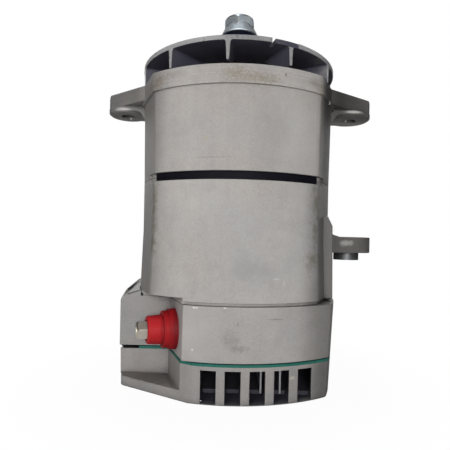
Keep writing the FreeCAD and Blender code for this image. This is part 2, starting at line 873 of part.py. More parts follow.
def block_roof():
    """Everything above the sloping roof of the terminal block."""
    left = -2 * block_reach
    right = -block_root
    front = 2 * notch_back
    back = 2 * block_back
    high = 3 * z_seam
    rise_front = roof_outer_height + roof_back_rise * (front - notch_back)
    rise_back = roof_outer_height + roof_back_rise * (back - notch_back)

    def edge(x, y, base):
        return Vector(x, y, base + roof_slope * (x + block_reach))

    front_face = [edge(left, front, rise_front), edge(right, front, rise_front),
                  Vector(right, front, high), Vector(left, front, high)]
    back_face = [edge(left, back, rise_back), edge(right, back, rise_back),
                 Vector(right, back, high), Vector(left, back, high)]
    wires = [Part.makePolygon(face + face[:1]) for face in (front_face, back_face)]
    return Part.makeLoft(wires, True, True)


def rectifier_housing():
    """Middle casting: skirt with the terminal block, notch wall, web and rectifier posts."""
    z_roof = z_seam + roof_slope * block_reach
    skirt = casing_loft(skirt_section(z_skirt), z_skirt, skirt_section(z_seam), z_seam)
    block = block_prism(0.0, z_skirt, z_roof).cut(block_roof())
    shoulder = [edge for edge in block.Edges
                if all(abs(v.X + block_reach) < 0.01 and v.Z > roof_outer_height - block_shoulder_radius
                       for v in edge.Vertexes) and abs(edge.tangentAt(edge.FirstParameter).z) < 0.5]
    block = block.makeFillet(block_shoulder_radius, shoulder)
    keep = box(-2 * block_reach, -block_reach, z_skirt, -block_root, block_reach, z_roof)
    block = block.common(keep)
    room = casing_loft(inset(BARREL, -barrel_flare - roof_gap), z_seam,
                       inset(BARREL, -roof_gap), z_split - barrel_straight_length)
    block = block.cut(room)
    body = joined([skirt, block])

    z_web = z_seam - skirt_web_thickness
    hollow_skirt = casing_loft(inset(skirt_section(z_skirt), skirt_wall), z_skirt,
                               inset(skirt_section(z_web), skirt_wall), z_web)
    hollow_block = block_prism(-skirt_wall, z_skirt, z_web - skirt_wall)
    hollow = joined([hollow_skirt, hollow_block])
    hollow = hollow.cut(notch_prism(skirt_wall, z_skirt, z_web))
    bosses = [cylinder(cover_boss_radius, z_skirt, z_skirt + cover_screw_grip + cover_boss_end, x, y)
              for x, y in cover_screw_places]
    hollow = hollow.cut(bosses)
    opening = casing_prism(inset(BARREL, skirt_web_width), z_web, z_seam)
    opening = opening.cut(notch_prism(skirt_wall, z_web, z_seam))
    body = body.cut([hollow, opening, notch_prism(0.0, z_skirt, z_roof)])
    posts = [cylinder(post_radius, z_post_bottom, z_seam, x, y) for x, y in post_places]
    body = joined([body] + posts)

    z_thread_end = z_post_bottom + rectifier_bolt_grip + thread_room
    cutters = [cylinder(rectifier_bolt_radius + thread_gap, z_post_bottom, z_thread_end, x, y)
               for x, y in post_places]
    cutters += [cylinder(cover_screw_radius + thread_gap, z_skirt, z_skirt + cover_screw_grip, x, y)
                for x, y in cover_screw_places]
    cutters += [cylinder(skirt_screw_radius + bolt_hole_gap, z_web, z_seam, x, y)
                for x, y in skirt_screw_places()]
    cutters.append(terminal_shape(insulator_radius + fit_gap, -3 * skirt_wall, 2 * skirt_wall))
    return body.cut(cutters)


def terminal_axes():
    """Outward direction of the output stud."""
    lean = math.atan2(notch_wall_run, notch_wall_depth)
    return Vector(-math.cos(lean), -math.sin(lean), 0)


def terminal_foot():
    """Point where the stud axis leaves the notch wall."""
    outward = terminal_axes()
    along = Vector(-outward.y, outward.x, 0)
    return Vector(notch_corner, notch_back, terminal_height) + along * terminal_run


def terminal_shape(radius, start, end):
    """Cylinder on the stud axis; distances count outwards from the notch wall."""
    direction = terminal_axes()
    return Part.makeCylinder(radius, end - start, terminal_foot() + direction * start, direction)


def along_terminal(shape):
    """Move a shape built about the shaft axis from z = 0 onto the stud axis."""
    copy = shape.copy()
    turn = FreeCAD.Rotation(UP, terminal_axes())
    copy.Placement = FreeCAD.Placement(terminal_foot(), turn)
    return copy


def end_cover():
    """Rear cover: slotted wall, apron under the notch, and a tongue that closes the block's seam."""
    outside = skirt_solid(0.0, 0.0, cover_height)
    upright = [edge for edge in outside.Edges
               if all(abs(v.X + block_reach) < 0.01 and v.Y < notch_back for v in edge.Vertexes)
               and edge.Length > cover_height / 2]
    outside = outside.makeFillet(apron_corner_radius, upright)
    rim = [edge for edge in outside.Edges if all(v.Z < 0.01 for v in edge.Vertexes)]
    outside = outside.makeChamfer(cover_edge_chamfer, rim)
    hollow = joined([casing_loft(inset(skirt_section(cover_floor), skirt_wall), cover_floor,
                                 inset(skirt_section(cover_height), skirt_wall), cover_height),
                     block_prism(-skirt_wall, cover_floor, cover_height)])
    hollow = hollow.cut(notch_prism(skirt_wall, cover_floor, cover_height))
    hollow = hollow.cut(apron_cutter(-skirt_wall, cover_floor, cover_height))
    half_ribs = slot_places()[-1] + slot_pitch / 2
    thick = [box(slot_places()[0] - slot_pitch / 2, side * skirt_half_depth - rib_depth, cover_floor,
                 half_ribs, side * skirt_half_depth + rib_depth, cover_height) for side in (-1, 1)]
    hollow = hollow.cut(thick)
    bosses = [cylinder(cover_boss_radius, cover_floor, cover_height, x, y)
              for x, y in cover_screw_places]
    hollow = hollow.cut(bosses)
    tongue_left = tongue_inset - block_reach
    tongue_top = cover_height + gasket_thickness + gasket_gap / 2
    tongue = box(tongue_left, notch_back + tongue_inset, cover_height,
                 tongue_left + tongue_width, block_back - block_back_radius, tongue_top)
    body = outside.cut([hollow, notch_prism(0.0, notch_floor_height, cover_height)])
    body = joined([body, tongue])
    cutters = [slot_cutter(x, side) for x in slot_places() for side in (-1, 1)]
    cutters += [cylinder(cover_screw_radius + bolt_hole_gap, 0.0, cover_height, x, y)
                for x, y in cover_screw_places]
    cutters += [cylinder(cover_screw_head_radius + head_room, 0.0, cover_screw_recess, x, y)
                for x, y in cover_screw_places]
    return body.cut(cutters)


def slot_places():
    """Centres of the cooling slots along X."""
    return [slot_first + slot_pitch * index for index in range(slot_count)]


def slot_cutter(x, side):
    """One cooling slot, a little narrower inside than at the face."""
    outer = skirt_half_depth + over
    inner = outer - slot_depth

    def face(y, width):
        left, right = x - width / 2, x + width / 2
        outline = ((left, slot_sill), (right, slot_sill), (right, slot_top), (left, slot_top))
        corners = [Vector(along, side * y, height) for along, height in outline]
        return Part.makePolygon(corners + corners[:1])

    return Part.makeLoft([face(outer, slot_width), face(inner, slot_inner_width)], True, True)


def end_gasket():
    """Green gasket between the end cover and the rectifier housing."""
    z_top_face = cover_height + gasket_thickness
    outside = skirt_solid(0.0, cover_height, z_top_face)
    rim = skirt_wall + gasket_lip
    hollow = joined([casing_prism(inset(skirt_section(cover_height), rim), cover_height, z_top_face),
                     block_prism(-rim, cover_height, z_top_face)])
    hollow = hollow.cut(notch_prism(rim, cover_height, z_top_face))
    hollow = hollow.cut([cylinder(cover_boss_radius, cover_height, z_top_face, x, y)
                         for x, y in cover_screw_places])
    holes = [cylinder(cover_screw_radius + bolt_hole_gap, cover_height, z_top_face, x, y)
             for x, y in cover_screw_places]
    beyond = box(-2 * block_reach, -block_reach, cover_height, gasket_end, block_reach, z_top_face)
    return outside.cut([hollow, beyond, notch_prism(0.0, cover_height, z_top_face)] + holes)


def stator_core():
    """Lamination stack: bowed outline, scallops for the bolts and slots round the bore."""
    body = stack_pocket(z_stack_bottom, z_stack_top)
    slot = box(stator_bore - over, -stator_slot_width / 2, z_stack_bottom,
               stator_bore + stator_slot_depth, stator_slot_width / 2, z_stack_top)
    return body.cut([cylinder(stator_bore, z_stack_bottom, z_stack_top)]
                    + polar_copies(slot, stator_slots))


def stator_winding():
    """Copper winding: one bar in each slot and a bundle of end turns at each side."""
    inner = stator_bore + winding_gap + winding_step
    half = stator_slot_width / 2 - winding_gap
    low, high = z_stack_bottom - winding_step, z_stack_top + winding_step
    bar = box(inner, -half, low, stator_bore + stator_slot_depth - winding_gap, half, high)
    outer = inner + winding_thickness
    chamfer = winding_thickness / 4

    def bundle(near, far):
        step = 1 if far > near else -1
        return revolved([(inner, near), (outer, near), (outer, far - step * chamfer),
                         (outer - chamfer, far), (inner + chamfer, far), (inner, far - step * chamfer)])

    bundles = [bundle(low, z_stack_bottom - winding_overhang), bundle(high, z_stack_top + winding_overhang)]
    return joined(bundles + polar_copies(bar, stator_slots))


def through_bolts():
    """Four long screws that clamp the two housings on the laminations."""
    bolts = []
    low = z_stack_bottom - bolt_engagement + stud_end_margin
    for x, y in bolt_places():
        head = hexagon(bolt_head_flats, z_end_wall_top, z_end_wall_top + bolt_head_height)
        head.translate(Vector(x, y, 0))
        bolts.append(joined([cylinder(bolt_radius, low, z_end_wall_top, x, y), head]))
    return Part.makeCompound(bolts)


def bearing_rings(bore, outside, bottom, width, groove_radius, pitch_radius):
    """Outer and inner ring of a rolling bearing; a groove radius of zero gives plain tracks."""
    track = groove_radius * track_share
    outer = ring(outside / 2, pitch_radius + track, bottom, bottom + width)
    inner = ring(pitch_radius - track, bore / 2, bottom, bottom + width)
    groove = Part.makeTorus(pitch_radius, groove_radius, Vector(0, 0, bottom + width / 2), UP)
    return outer.cut(groove), inner.cut(groove)


def front_bearing():
    """Deep-groove ball bearing: outer ring, inner ring, balls and cage."""
    pitch = (front_bearing_bore + front_bearing_outside) / 4
    middle = z_front_bearing_bottom + front_bearing_width / 2
    outer, inner = bearing_rings(front_bearing_bore, front_bearing_outside, z_front_bearing_bottom,
                                 front_bearing_width, front_ball_radius + ball_gap, pitch)
    ball = Part.makeSphere(front_ball_radius, Vector(pitch, 0, middle))
    balls = polar_copies(ball, front_balls)
    reach = front_ball_radius + cage_pocket_gap + cage_rim
    cage = ring(pitch + cage_thickness / 2, pitch - cage_thickness / 2, middle - reach, middle + reach)
    pocket = Part.makeCylinder(front_ball_radius + cage_pocket_gap, 2 * front_ball_radius,
                               Vector(pitch - front_ball_radius, 0, middle), Vector(1, 0, 0))
    cage = cage.cut(polar_copies(pocket, front_balls))
    return outer, inner, Part.makeCompound(balls), cage


def rear_bearing():
    """Cylindrical roller bearing: flanged outer ring, plain inner ring, rollers and cage."""
    pitch = (rear_bearing_bore + rear_bearing_outside) / 4
    bottom, top = z_rear_bearing_bottom, z_rear_bearing_top
    middle = (bottom + top) / 2
    track = rear_roller_radius + ball_gap
    half = rear_roller_length / 2 + ball_gap
    outer = ring(rear_bearing_outside / 2, pitch + rear_roller_radius / 2, bottom, top)
    outer = outer.cut(cylinder(pitch + track, middle - half, middle + half))
    inner = ring(pitch - track, rear_bearing_bore / 2, bottom, top)
    roller = cylinder(rear_roller_radius, middle - rear_roller_length / 2,
                      middle + rear_roller_length / 2, pitch)
    rollers = polar_copies(roller, rear_rollers)
    cage = ring(pitch + cage_thickness / 2, pitch - cage_thickness / 2, bottom + cage_inset,
                top - cage_inset)
    pocket = cylinder(rear_roller_radius + cage_pocket_gap, middle - half - cage_pocket_gap,
                      middle + half + cage_pocket_gap, pitch)
    cage = cage.cut(polar_copies(pocket, rear_rollers))
    return outer, inner, Part.makeCompound(rollers), cage


def bearing_retainer():
    """Plate under the front bearing, held by four screws."""
    bottom = z_front_bearing_bottom - retainer_thickness
    outer = front_bearing_outside / 2 + front_hub_wall
    inner = front_bearing_outside / 2 - race_wall
    plate = ring(outer, inner, bottom, z_front_bearing_bottom)
    holes = [cylinder(retainer_screw_radius + bolt_hole_gap, bottom, z_front_bearing_bottom, x, y)
             for x, y in retainer_screw_places()]
    return plate.cut(holes)


def retainer_screws():
    """Screws of the bearing retainer."""
    bottom = z_front_bearing_bottom - retainer_thickness
    screws = []
    for x, y in retainer_screw_places():
        shank = cylinder(retainer_screw_radius, bottom, z_front_bearing_bottom + 2 * retainer_thickness,
                         x, y)
        head = cylinder(retainer_head_radius, bottom - retainer_head_height, bottom, x, y)
        screws.append(joined([shank, head]))
    return Part.makeCompound(screws)


def shaft():
    """Stepped rotor shaft with the drive thread at the top and the ring seat at the tail."""
    z_front_shoulder = z_front_bearing_bottom
    z_rear_shoulder = z_rear_bearing_top
    z_thread_top = z_top - shaft_thread_short
    profile = [
        (0, shaft_tail_height), (ring_seat_radius, shaft_tail_height),
        (ring_seat_radius, z_rear_bearing_bottom), (rear_bearing_bore / 2, z_rear_bearing_bottom),
        (rear_bearing_bore / 2, z_rear_shoulder), (rotor_seat_radius, z_rear_shoulder),
        (rotor_seat_radius, z_front_shoulder), (front_bearing_bore / 2, z_front_shoulder),
        (front_bearing_bore / 2, z_front_bearing_top), (fan_seat_radius, z_front_bearing_top),
        (fan_seat_radius, z_hub_top), (pulley_seat_radius, z_hub_top),
        (pulley_seat_radius, z_washer), (thread_radius, z_washer),
        (thread_radius, z_thread_top - thread_chamfer), (thread_radius - thread_chamfer, z_thread_top),
        (0, z_thread_top)]
    body = revolved(profile)
    half = key_width / 2
    pulley_slot = box(-half, -pulley_seat_radius, z_key_bottom(), half, key_depth - pulley_seat_radius,
                      z_key_bottom() + pulley_key_length)
    return body.cut(pulley_slot)


def z_key_bottom():
    """Lower end of the pulley key."""
    return z_hub_top + (pulley_seat_length - pulley_key_length) / 2


def pulley_key():
    """Parallel key in the pulley seat."""
    half = key_width / 2
    front = key_depth - pulley_seat_radius
    bottom = z_key_bottom()
    return box(-half, front - key_height, bottom, half, front, bottom + pulley_key_length)


def claw_pole(upper):
    """One pole piece: half core, disc and six tapering claws bent along the rotor."""
    z_low = z_split
    z_disc = z_split + claw_length / 2
    z_high = z_disc + claw_disc_thickness
    core = cylinder(rotor_core_radius, z_low, z_disc)
    disc = cylinder(claw_disc_radius, z_disc, z_high)
    z_tip = z_disc - claw_length

    def claw_face(width, thickness, height):
        inner = rotor_radius - thickness
        outer = rotor_radius + over
        corners = [Vector(inner, -width / 2, height), Vector(outer, -width / 2, height),
                   Vector(outer, width / 2, height), Vector(inner, width / 2, height)]
        return Part.makePolygon(corners + corners[:1])

    finger = Part.makeLoft([claw_face(claw_tip_width, claw_tip_thickness, z_tip),
                            claw_face(claw_root_width, claw_root_thickness, z_disc)], True, True)
    arm = box(rotor_core_radius, -claw_root_width / 2, z_disc, rotor_radius + over, claw_root_width / 2,
              z_high)
    claw = joined([finger, arm]).common(cylinder(rotor_radius, z_tip, z_high))
    body = joined([core, disc] + polar_copies(claw, claw_count))
    body = body.cut(cylinder(rotor_seat_radius, z_low, z_high))
    if not upper:
        body = body.mirror(Vector(0, 0, z_split), UP)
        body = turned(body, 180.0 / claw_count)
    return body


def rotor_coil_parts():
    """Field bobbin and the coil wound on it."""
    half = claw_length / 2 - bobbin_gap
    low, high = z_split - half, z_split + half
    core_room = rotor_core_radius + bobbin_gap
    bobbin = joined([ring(coil_inner_radius, core_room, low, high),
                     ring(coil_outer_radius, core_room, low, low + bobbin_flange),
                     ring(coil_outer_radius, core_room, high - bobbin_flange, high)])
    coil = ring(coil_outer_radius - bobbin_gap, coil_inner_radius, low + bobbin_flange, high - bobbin_flange)
    return bobbin, coil


def slip_rings():
    """Two copper rings on the tail of the shaft."""
    rings = [ring(ring_radius, ring_radius - ring_thickness, z - ring_width / 2, z + ring_width / 2)
             for z in (z_ring_low, z_ring_high)]
    return Part.makeCompound(rings)


def slip_ring_carrier():
    """Moulded sleeve that insulates the slip rings from the shaft."""
    inner = ring_seat_radius
    outer = ring_radius - ring_thickness
    low = z_ring_low - ring_width / 2 - ring_carrier_margin
    high = z_ring_high + ring_width / 2 + ring_carrier_margin
    between = ring(ring_radius - ring_step, outer, z_ring_low + ring_width / 2,
                   z_ring_high - ring_width / 2)
    return joined([ring(outer, inner, low, high), between])


def fan():
    """Cast fan: disc with hub and cone, and radial blades hanging from the disc."""
    hub = revolved([(fan_seat_radius, z_fan_hub_bottom), (fan_hub_radius, z_fan_hub_bottom),
                    (fan_hub_radius, z_disc_bottom - fan_cone_height), (fan_cone_radius, z_disc_bottom),
                    (fan_radius, z_disc_bottom), (fan_radius, z_disc_top),
                    (fan_hub_radius, z_disc_top), (fan_hub_radius - fan_hub_taper, z_hub_top),
                    (fan_seat_radius, z_hub_top)])
    tip, root, flare = blade_tip_width / 2, blade_root_width / 2, blade_root_width / 2 + blade_fillet
    z_flare = z_disc_bottom - blade_fillet
    bend = root + blade_fillet * blade_fillet_bend
    z_bend = z_disc_bottom - blade_fillet * blade_fillet_bend
    z_sunk = z_disc_bottom + blade_overlap
    outline = [(-tip, z_blade_bottom), (tip, z_blade_bottom), (root, z_flare), (bend, z_bend),
               (flare, z_sunk), (-flare, z_sunk), (-bend, z_bend), (-root, z_flare)]
    corners = [Vector(blade_inner_radius, y, z) for y, z in outline]
    blade = Part.Face(Part.makePolygon(corners + corners[:1]))
    blade = blade.extrude(Vector(fan_radius + over - blade_inner_radius, 0, 0))
    blade = blade.common(cylinder(fan_radius, z_blade_bottom, z_disc_top))
    heel_end = blade_inner_radius + blade_heel_run
    heel = box(blade_inner_radius - over, -flare, z_blade_bottom - blade_heel_run, heel_end, flare,
               z_blade_bottom + blade_heel_rise)
    heel.rotate(Vector(heel_end, 0, z_blade_bottom), Vector(0, 1, 0), blade_heel_angle)
    blade = blade.cut(heel)
    body = joined([hub] + polar_copies(blade, blade_count, blade_phase - 90.0))
    notch = box(fan_radius - fan_notch_depth, -fan_notch_width / 2, z_disc_bottom - over,
                fan_radius + over, fan_notch_width / 2, z_disc_top + over)
    notch = turned(notch, fan_notch_angle - 90.0)
    relief = sector(fan_radius - fan_relief_depth, fan_radius + over, fan_relief_angle,
                    z_disc_bottom - over, z_disc_top + over,
                    fan_notch_angle + fan_relief_start + fan_relief_angle / 2 - 90.0)
    return body.cut([notch, relief])


def fan_spacer():
    """Ring between the front bearing and the fan hub."""
    return ring(spacer_radius(), fan_seat_radius, z_front_bearing_top, z_fan_hub_bottom)


def shaft_washer():
    """Thick coned washer under the shaft nut."""
    body = revolved([(thread_radius + thread_gap, z_washer), (washer_bottom_radius, z_washer),
                     (washer_bottom_radius, z_washer + washer_edge), (washer_top_radius, z_nut),
                     (thread_radius + thread_gap, z_nut)])
    return body


def shaft_nut():
    """Hexagon nut on the shaft end, its top turned to a dome."""
    body = turned(hexagon(shaft_nut_flats, z_nut, z_top, shaft_nut_chamfer), shaft_nut_turn)
    bore = cylinder(thread_radius + thread_gap, z_nut, z_top)
    return body.cut(bore)


def brush_places():
    """Heights of the two brushes."""
    return [z_ring_low, z_ring_high]


def brush(height):
    """Carbon brush, its tip hollowed to the ring."""
    half = brush_width / 2
    rise = brush_height / 2
    front = ring_radius - brush_wrap
    body = box(-half, front, height - rise, half, front + brush_length, height + rise)
    return body.cut(cylinder(ring_radius + brush_gap, height - brush_height, height + brush_height))


def brush_spring(height):
    """Coil spring behind a brush."""
    start = ring_radius - brush_wrap + brush_length
    end = holder_front + holder_length - holder_cap
    length = end - start - 2 * spring_wire
    path = Part.makeHelix(length / spring_turns, length, spring_coil_radius)
    half = spring_wire / 2
    corners = [Vector(spring_coil_radius + dx, 0, dz) for dx, dz in
               ((-half, -half), (half, -half), (half, half), (-half, half))]
    section = Part.makePolygon(corners + corners[:1])
    spring = Part.Wire(path).makePipeShell([section], True, True)
    spring.rotate(ORIGIN, Vector(1, 0, 0), -90)
    spring.translate(Vector(0, start + spring_wire, height))
    return spring


def brush_holder():
    """Moulded holder with two guideways, screwed to the rear housing."""
    low = z_ring_low - brush_height / 2 - holder_margin
    back = holder_front + holder_length
    body = box(-holder_half_width, holder_front, low, holder_half_width, back, z_seam)
    half = brush_width / 2 + guide_gap
    for height in brush_places():
        rise = brush_height / 2 + guide_gap
        guide = box(-half, holder_front, height - rise, half, back - holder_cap, height + rise)
        body = body.cut(guide)
    hub_room = cylinder(ring_radius + holder_ring_room, low, z_seam)
    return body.cut(hub_room)


def voltage_regulator():
    """Regulator box with a few cooling fins, screwed beside the brush holder."""
    bottom = z_seam - regulator_height
    back = regulator_front + regulator_width
    body = box(regulator_left, regulator_front, bottom, regulator_right, back, z_seam)
    pitch = regulator_length / regulator_fins
    half = pitch * regulator_fin_share / 2
    middles = [regulator_left + pitch * (index + 0.5) for index in range(regulator_fins)]
    fins = [box(middle - half, regulator_front + regulator_fin_inset, bottom - regulator_fin_height,
                middle + half, back - regulator_fin_inset, bottom) for middle in middles]
    body = joined([body] + fins)
    posts = [cylinder(post_radius + post_gap, bottom - regulator_fin_height, z_seam, x, y)
             for x, y in post_places]
    return body.cut(posts)


def inner_room(clearance, bottom, top):
    """Room inside the cover and skirt walls, kept clear of them by a distance."""
    section = inset(skirt_section(bottom), skirt_wall + clearance)
    room = casing_prism(section, bottom, top)
    return room.cut(notch_prism(skirt_wall + clearance, bottom, top))


def positive_heat_sink():
    """Finned plate for the positive diodes; its fins hang behind the cooling slots."""
    top = z_positive_plate + plate_thickness
    room = inner_room(sink_clearance, 0.0, top)
    reach = skirt_half_width
    plate = box(-reach, -sink_half_depth, z_positive_plate, reach, sink_half_depth, top)
    bottom = z_positive_plate - fin_drop
    places = [fin_first + fin_pitch * index for index in range(fin_count)]
    fins = [box(x - fin_thickness / 2, -sink_half_depth, bottom,
                x + fin_thickness / 2, sink_half_depth, z_positive_plate) for x in places]
    half_rib = cross_rib_thickness / 2
    cross_rib = box(places[0], -half_rib, bottom, places[-1], half_rib, z_positive_plate)
    plate = plate.cut(cylinder(centre_clearance, z_positive_plate, top))
    body = joined([plate, cross_rib] + fins).common(room)
    z_head = z_positive_plate - rectifier_head_height
    cutters = [cylinder(rectifier_head_radius + head_room, bottom, z_positive_plate, x, y)
               for x, y in post_places]
    cutters += [cylinder(rectifier_bolt_radius + bolt_hole_gap, z_head, top, x, y)
                for x, y in post_places]
    cutters += [cylinder(diode_radius, z_positive_plate, top, x, y)
                for x, y in diode_places(diode_row_x)]
    cutters += [cylinder(cover_boss_radius + sink_clearance, bottom, top, x, y)
                for x, y in cover_screw_places]
    return body.cut(cutters)


def diode_places(row_x):
    """Two rows of three diodes; the left row sits further back, behind the notch."""
    right = [(row_x, diode_row_pitch * k) for k in (-1, 0, 1)]
    left = [(-row_x, diode_row_pitch * k + diode_left_shift) for k in (-1, 0, 1)]
    return right + left


def diodes(row_x, bottom):
    """Press-fit diodes with a short lead."""
    bodies = []
    middle = bottom + diode_height - diode_lead_length
    for x, y in diode_places(row_x):
        can = cylinder(diode_radius, bottom, middle, x, y)
        lead = cylinder(diode_lead_radius, middle, bottom + diode_height, x, y)
        bodies.append(joined([can, lead]))
    return Part.makeCompound(bodies)


def negative_heat_sink():
    """U-shaped plate for the negative diodes."""
    bottom, top = z_negative_plate, z_negative_plate + plate_thickness
    keep = box(-skirt_half_width, -sink_half_depth, bottom, skirt_half_width, sink_half_depth, top)
    body = inner_room(2 * sink_clearance, bottom, top).common(keep)
    opening = box(-centre_clearance, -centre_clearance, bottom, centre_clearance, skirt_half_depth, top)
    cutters = [opening]
    cutters += [cylinder(rectifier_bolt_radius + bolt_hole_gap, bottom, top, x, y)
                for x, y in post_places]
    cutters += [cylinder(diode_radius, bottom, top, x, y) for x, y in diode_places(negative_diode_x)]
    cutters.append(cylinder(bus_bar_width, bottom, top, terminal_inside().x, terminal_inside().y))
    cutters += [cylinder(cover_boss_radius + sink_clearance, bottom, top, x, y)
                for x, y in cover_screw_places]
    return body.cut(cutters)


def terminal_inside():
    """Point on the stud axis just inside the notch wall."""
    return terminal_foot() - terminal_axes() * (skirt_wall + insulator_flange + bus_bar_thickness)


def rectifier_insulators():
    """Spacers between the two heat sinks."""
    low, high = z_positive_plate + plate_thickness, z_negative_plate
    spacers = [ring(post_radius, rectifier_bolt_radius + bolt_hole_gap, low, high, x, y)
               for x, y in post_places]
    return Part.makeCompound(spacers)


def rectifier_bolts():
    """Screws that hang the rectifier from the posts."""
    bolts = []
    z_head = z_positive_plate - rectifier_head_height
    for x, y in post_places:
        shank = cylinder(rectifier_bolt_radius, z_positive_plate, z_post_bottom + rectifier_bolt_grip, x, y)
        head = cylinder(rectifier_head_radius, z_head, z_positive_plate, x, y)
        bolts.append(joined([shank, head]))
    return Part.makeCompound(bolts)


def output_stud():
    """Stud of the output terminal, from the bus bar out to the nut."""
    start = -skirt_wall - insulator_flange - bus_bar_thickness - inner_nut_height - stud_end_margin
    end = boot_length + terminal_nut_height - stud_end_margin
    return terminal_shape(stud_radius, start, end)


def stud_insulator():
    """Flanged bush that carries the stud through the notch wall."""
    sleeve = terminal_shape(insulator_radius, -skirt_wall, 0.0)
    flange = terminal_shape(insulator_flange_radius, -skirt_wall - insulator_flange, -skirt_wall)
    bore = terminal_shape(stud_radius, -4 * skirt_wall, skirt_wall)
    return joined([sleeve, flange]).cut(bore)


def terminal_boot():
    """Red sleeve round the stud: flange, ring and neck."""
    bore = stud_radius
    profile = [(bore, 0.0), (boot_flange_radius, 0.0),
               (boot_flange_radius - boot_flange_taper, boot_flange_length),
               (boot_ring_radius + boot_ring_taper, boot_flange_length),
               (boot_ring_radius, boot_ring_length),
               (boot_neck_radius + boot_neck_taper, boot_ring_length),
               (boot_neck_radius, boot_length - boot_edge),
               (boot_neck_radius - boot_edge, boot_length), (boot_mouth_radius, boot_length),
               (boot_mouth_radius, boot_length - boot_mouth_depth),
               (bore, boot_length - boot_mouth_depth)]
    return along_terminal(revolved(profile))


def terminal_washer():
    """Washer under the terminal nut, seated in the mouth of the boot."""
    low = boot_length - boot_mouth_depth
    body = ring(terminal_washer_radius, stud_radius + thread_gap, low, low + terminal_washer_thickness)
    return along_terminal(body)


def terminal_nut():
    """Hexagon nut of the output terminal."""
    low = boot_length - boot_mouth_depth + terminal_washer_thickness
    high = boot_length + terminal_nut_height
    body = hexagon(terminal_nut_flats, low, high, terminal_nut_chamfer)
    return along_terminal(body.cut(cylinder(stud_radius + thread_gap, low, high)))


def bus_bar():
    """Strap from the stud down to the positive heat sink."""
    start = -skirt_wall - insulator_flange - bus_bar_thickness
    plate_top = z_positive_plate + plate_thickness
    drop = terminal_height - plate_top
    foot_point = terminal_foot()
    half = bus_bar_width / 2
    wall = box(-half, -bus_bar_width / 2, start, drop, bus_bar_width / 2, start + bus_bar_thickness)
    foot = box(drop - bus_bar_thickness, -bus_bar_width / 2, start - bus_bar_width, drop,
               bus_bar_width / 2, start)
    body = joined([wall, foot]).cut(cylinder(stud_radius, start, start + bus_bar_thickness))
    direction = terminal_axes()
    down = Vector(0, 0, -1)
    sideways = direction.cross(down)
    matrix = FreeCAD.Matrix(down.x, sideways.x, direction.x, foot_point.x,
                            down.y, sideways.y, direction.y, foot_point.y,
                            down.z, sideways.z, direction.z, foot_point.z, 0, 0, 0, 1)
    body.Placement = FreeCAD.Placement(matrix)
    return body


def stud_inner_nut():
    """Nut that clamps the bus bar to the stud."""
    start = -skirt_wall - insulator_flange - bus_bar_thickness
    body = hexagon(terminal_nut_flats, start - inner_nut_height, start)
    return along_terminal(body.cut(cylinder(stud_radius + thread_gap, start - inner_nut_height, start)))


def cover_screws():
    """Screws that hold the end cover, their heads sunk in its rear face."""
    screws = []
    for x, y in cover_screw_places:
        shank = cylinder(cover_screw_radius, cover_screw_recess, z_skirt + cover_screw_grip - thread_room,
                         x, y)
        head = cylinder(cover_screw_head_radius, cover_screw_recess - cover_screw_head_height,
                        cover_screw_recess, x, y)
        screws.append(joined([shank, head]))
    return Part.makeCompound(screws)


def skirt_screws():
    """Screws that hold the rectifier housing to the rear housing."""
    z_web = z_seam - skirt_web_thickness
    screws = []
    for x, y in skirt_screw_places():
        shank = cylinder(skirt_screw_radius, z_web, z_web + skirt_screw_length, x, y)
        head = cylinder(skirt_screw_head_radius, z_web - skirt_screw_head_height, z_web, x, y)
        screws.append(joined([shank, head]))
    return Part.makeCompound(screws)


def pivot_bush():
    """Steel bush that slides in the lower lug and takes up the bracket gap."""
    bottom = lug_height - lug_thickness - bush_protrusion
    return ring(bush_radius, bush_bore_radius, bottom, bottom + bush_length, pivot_offset)


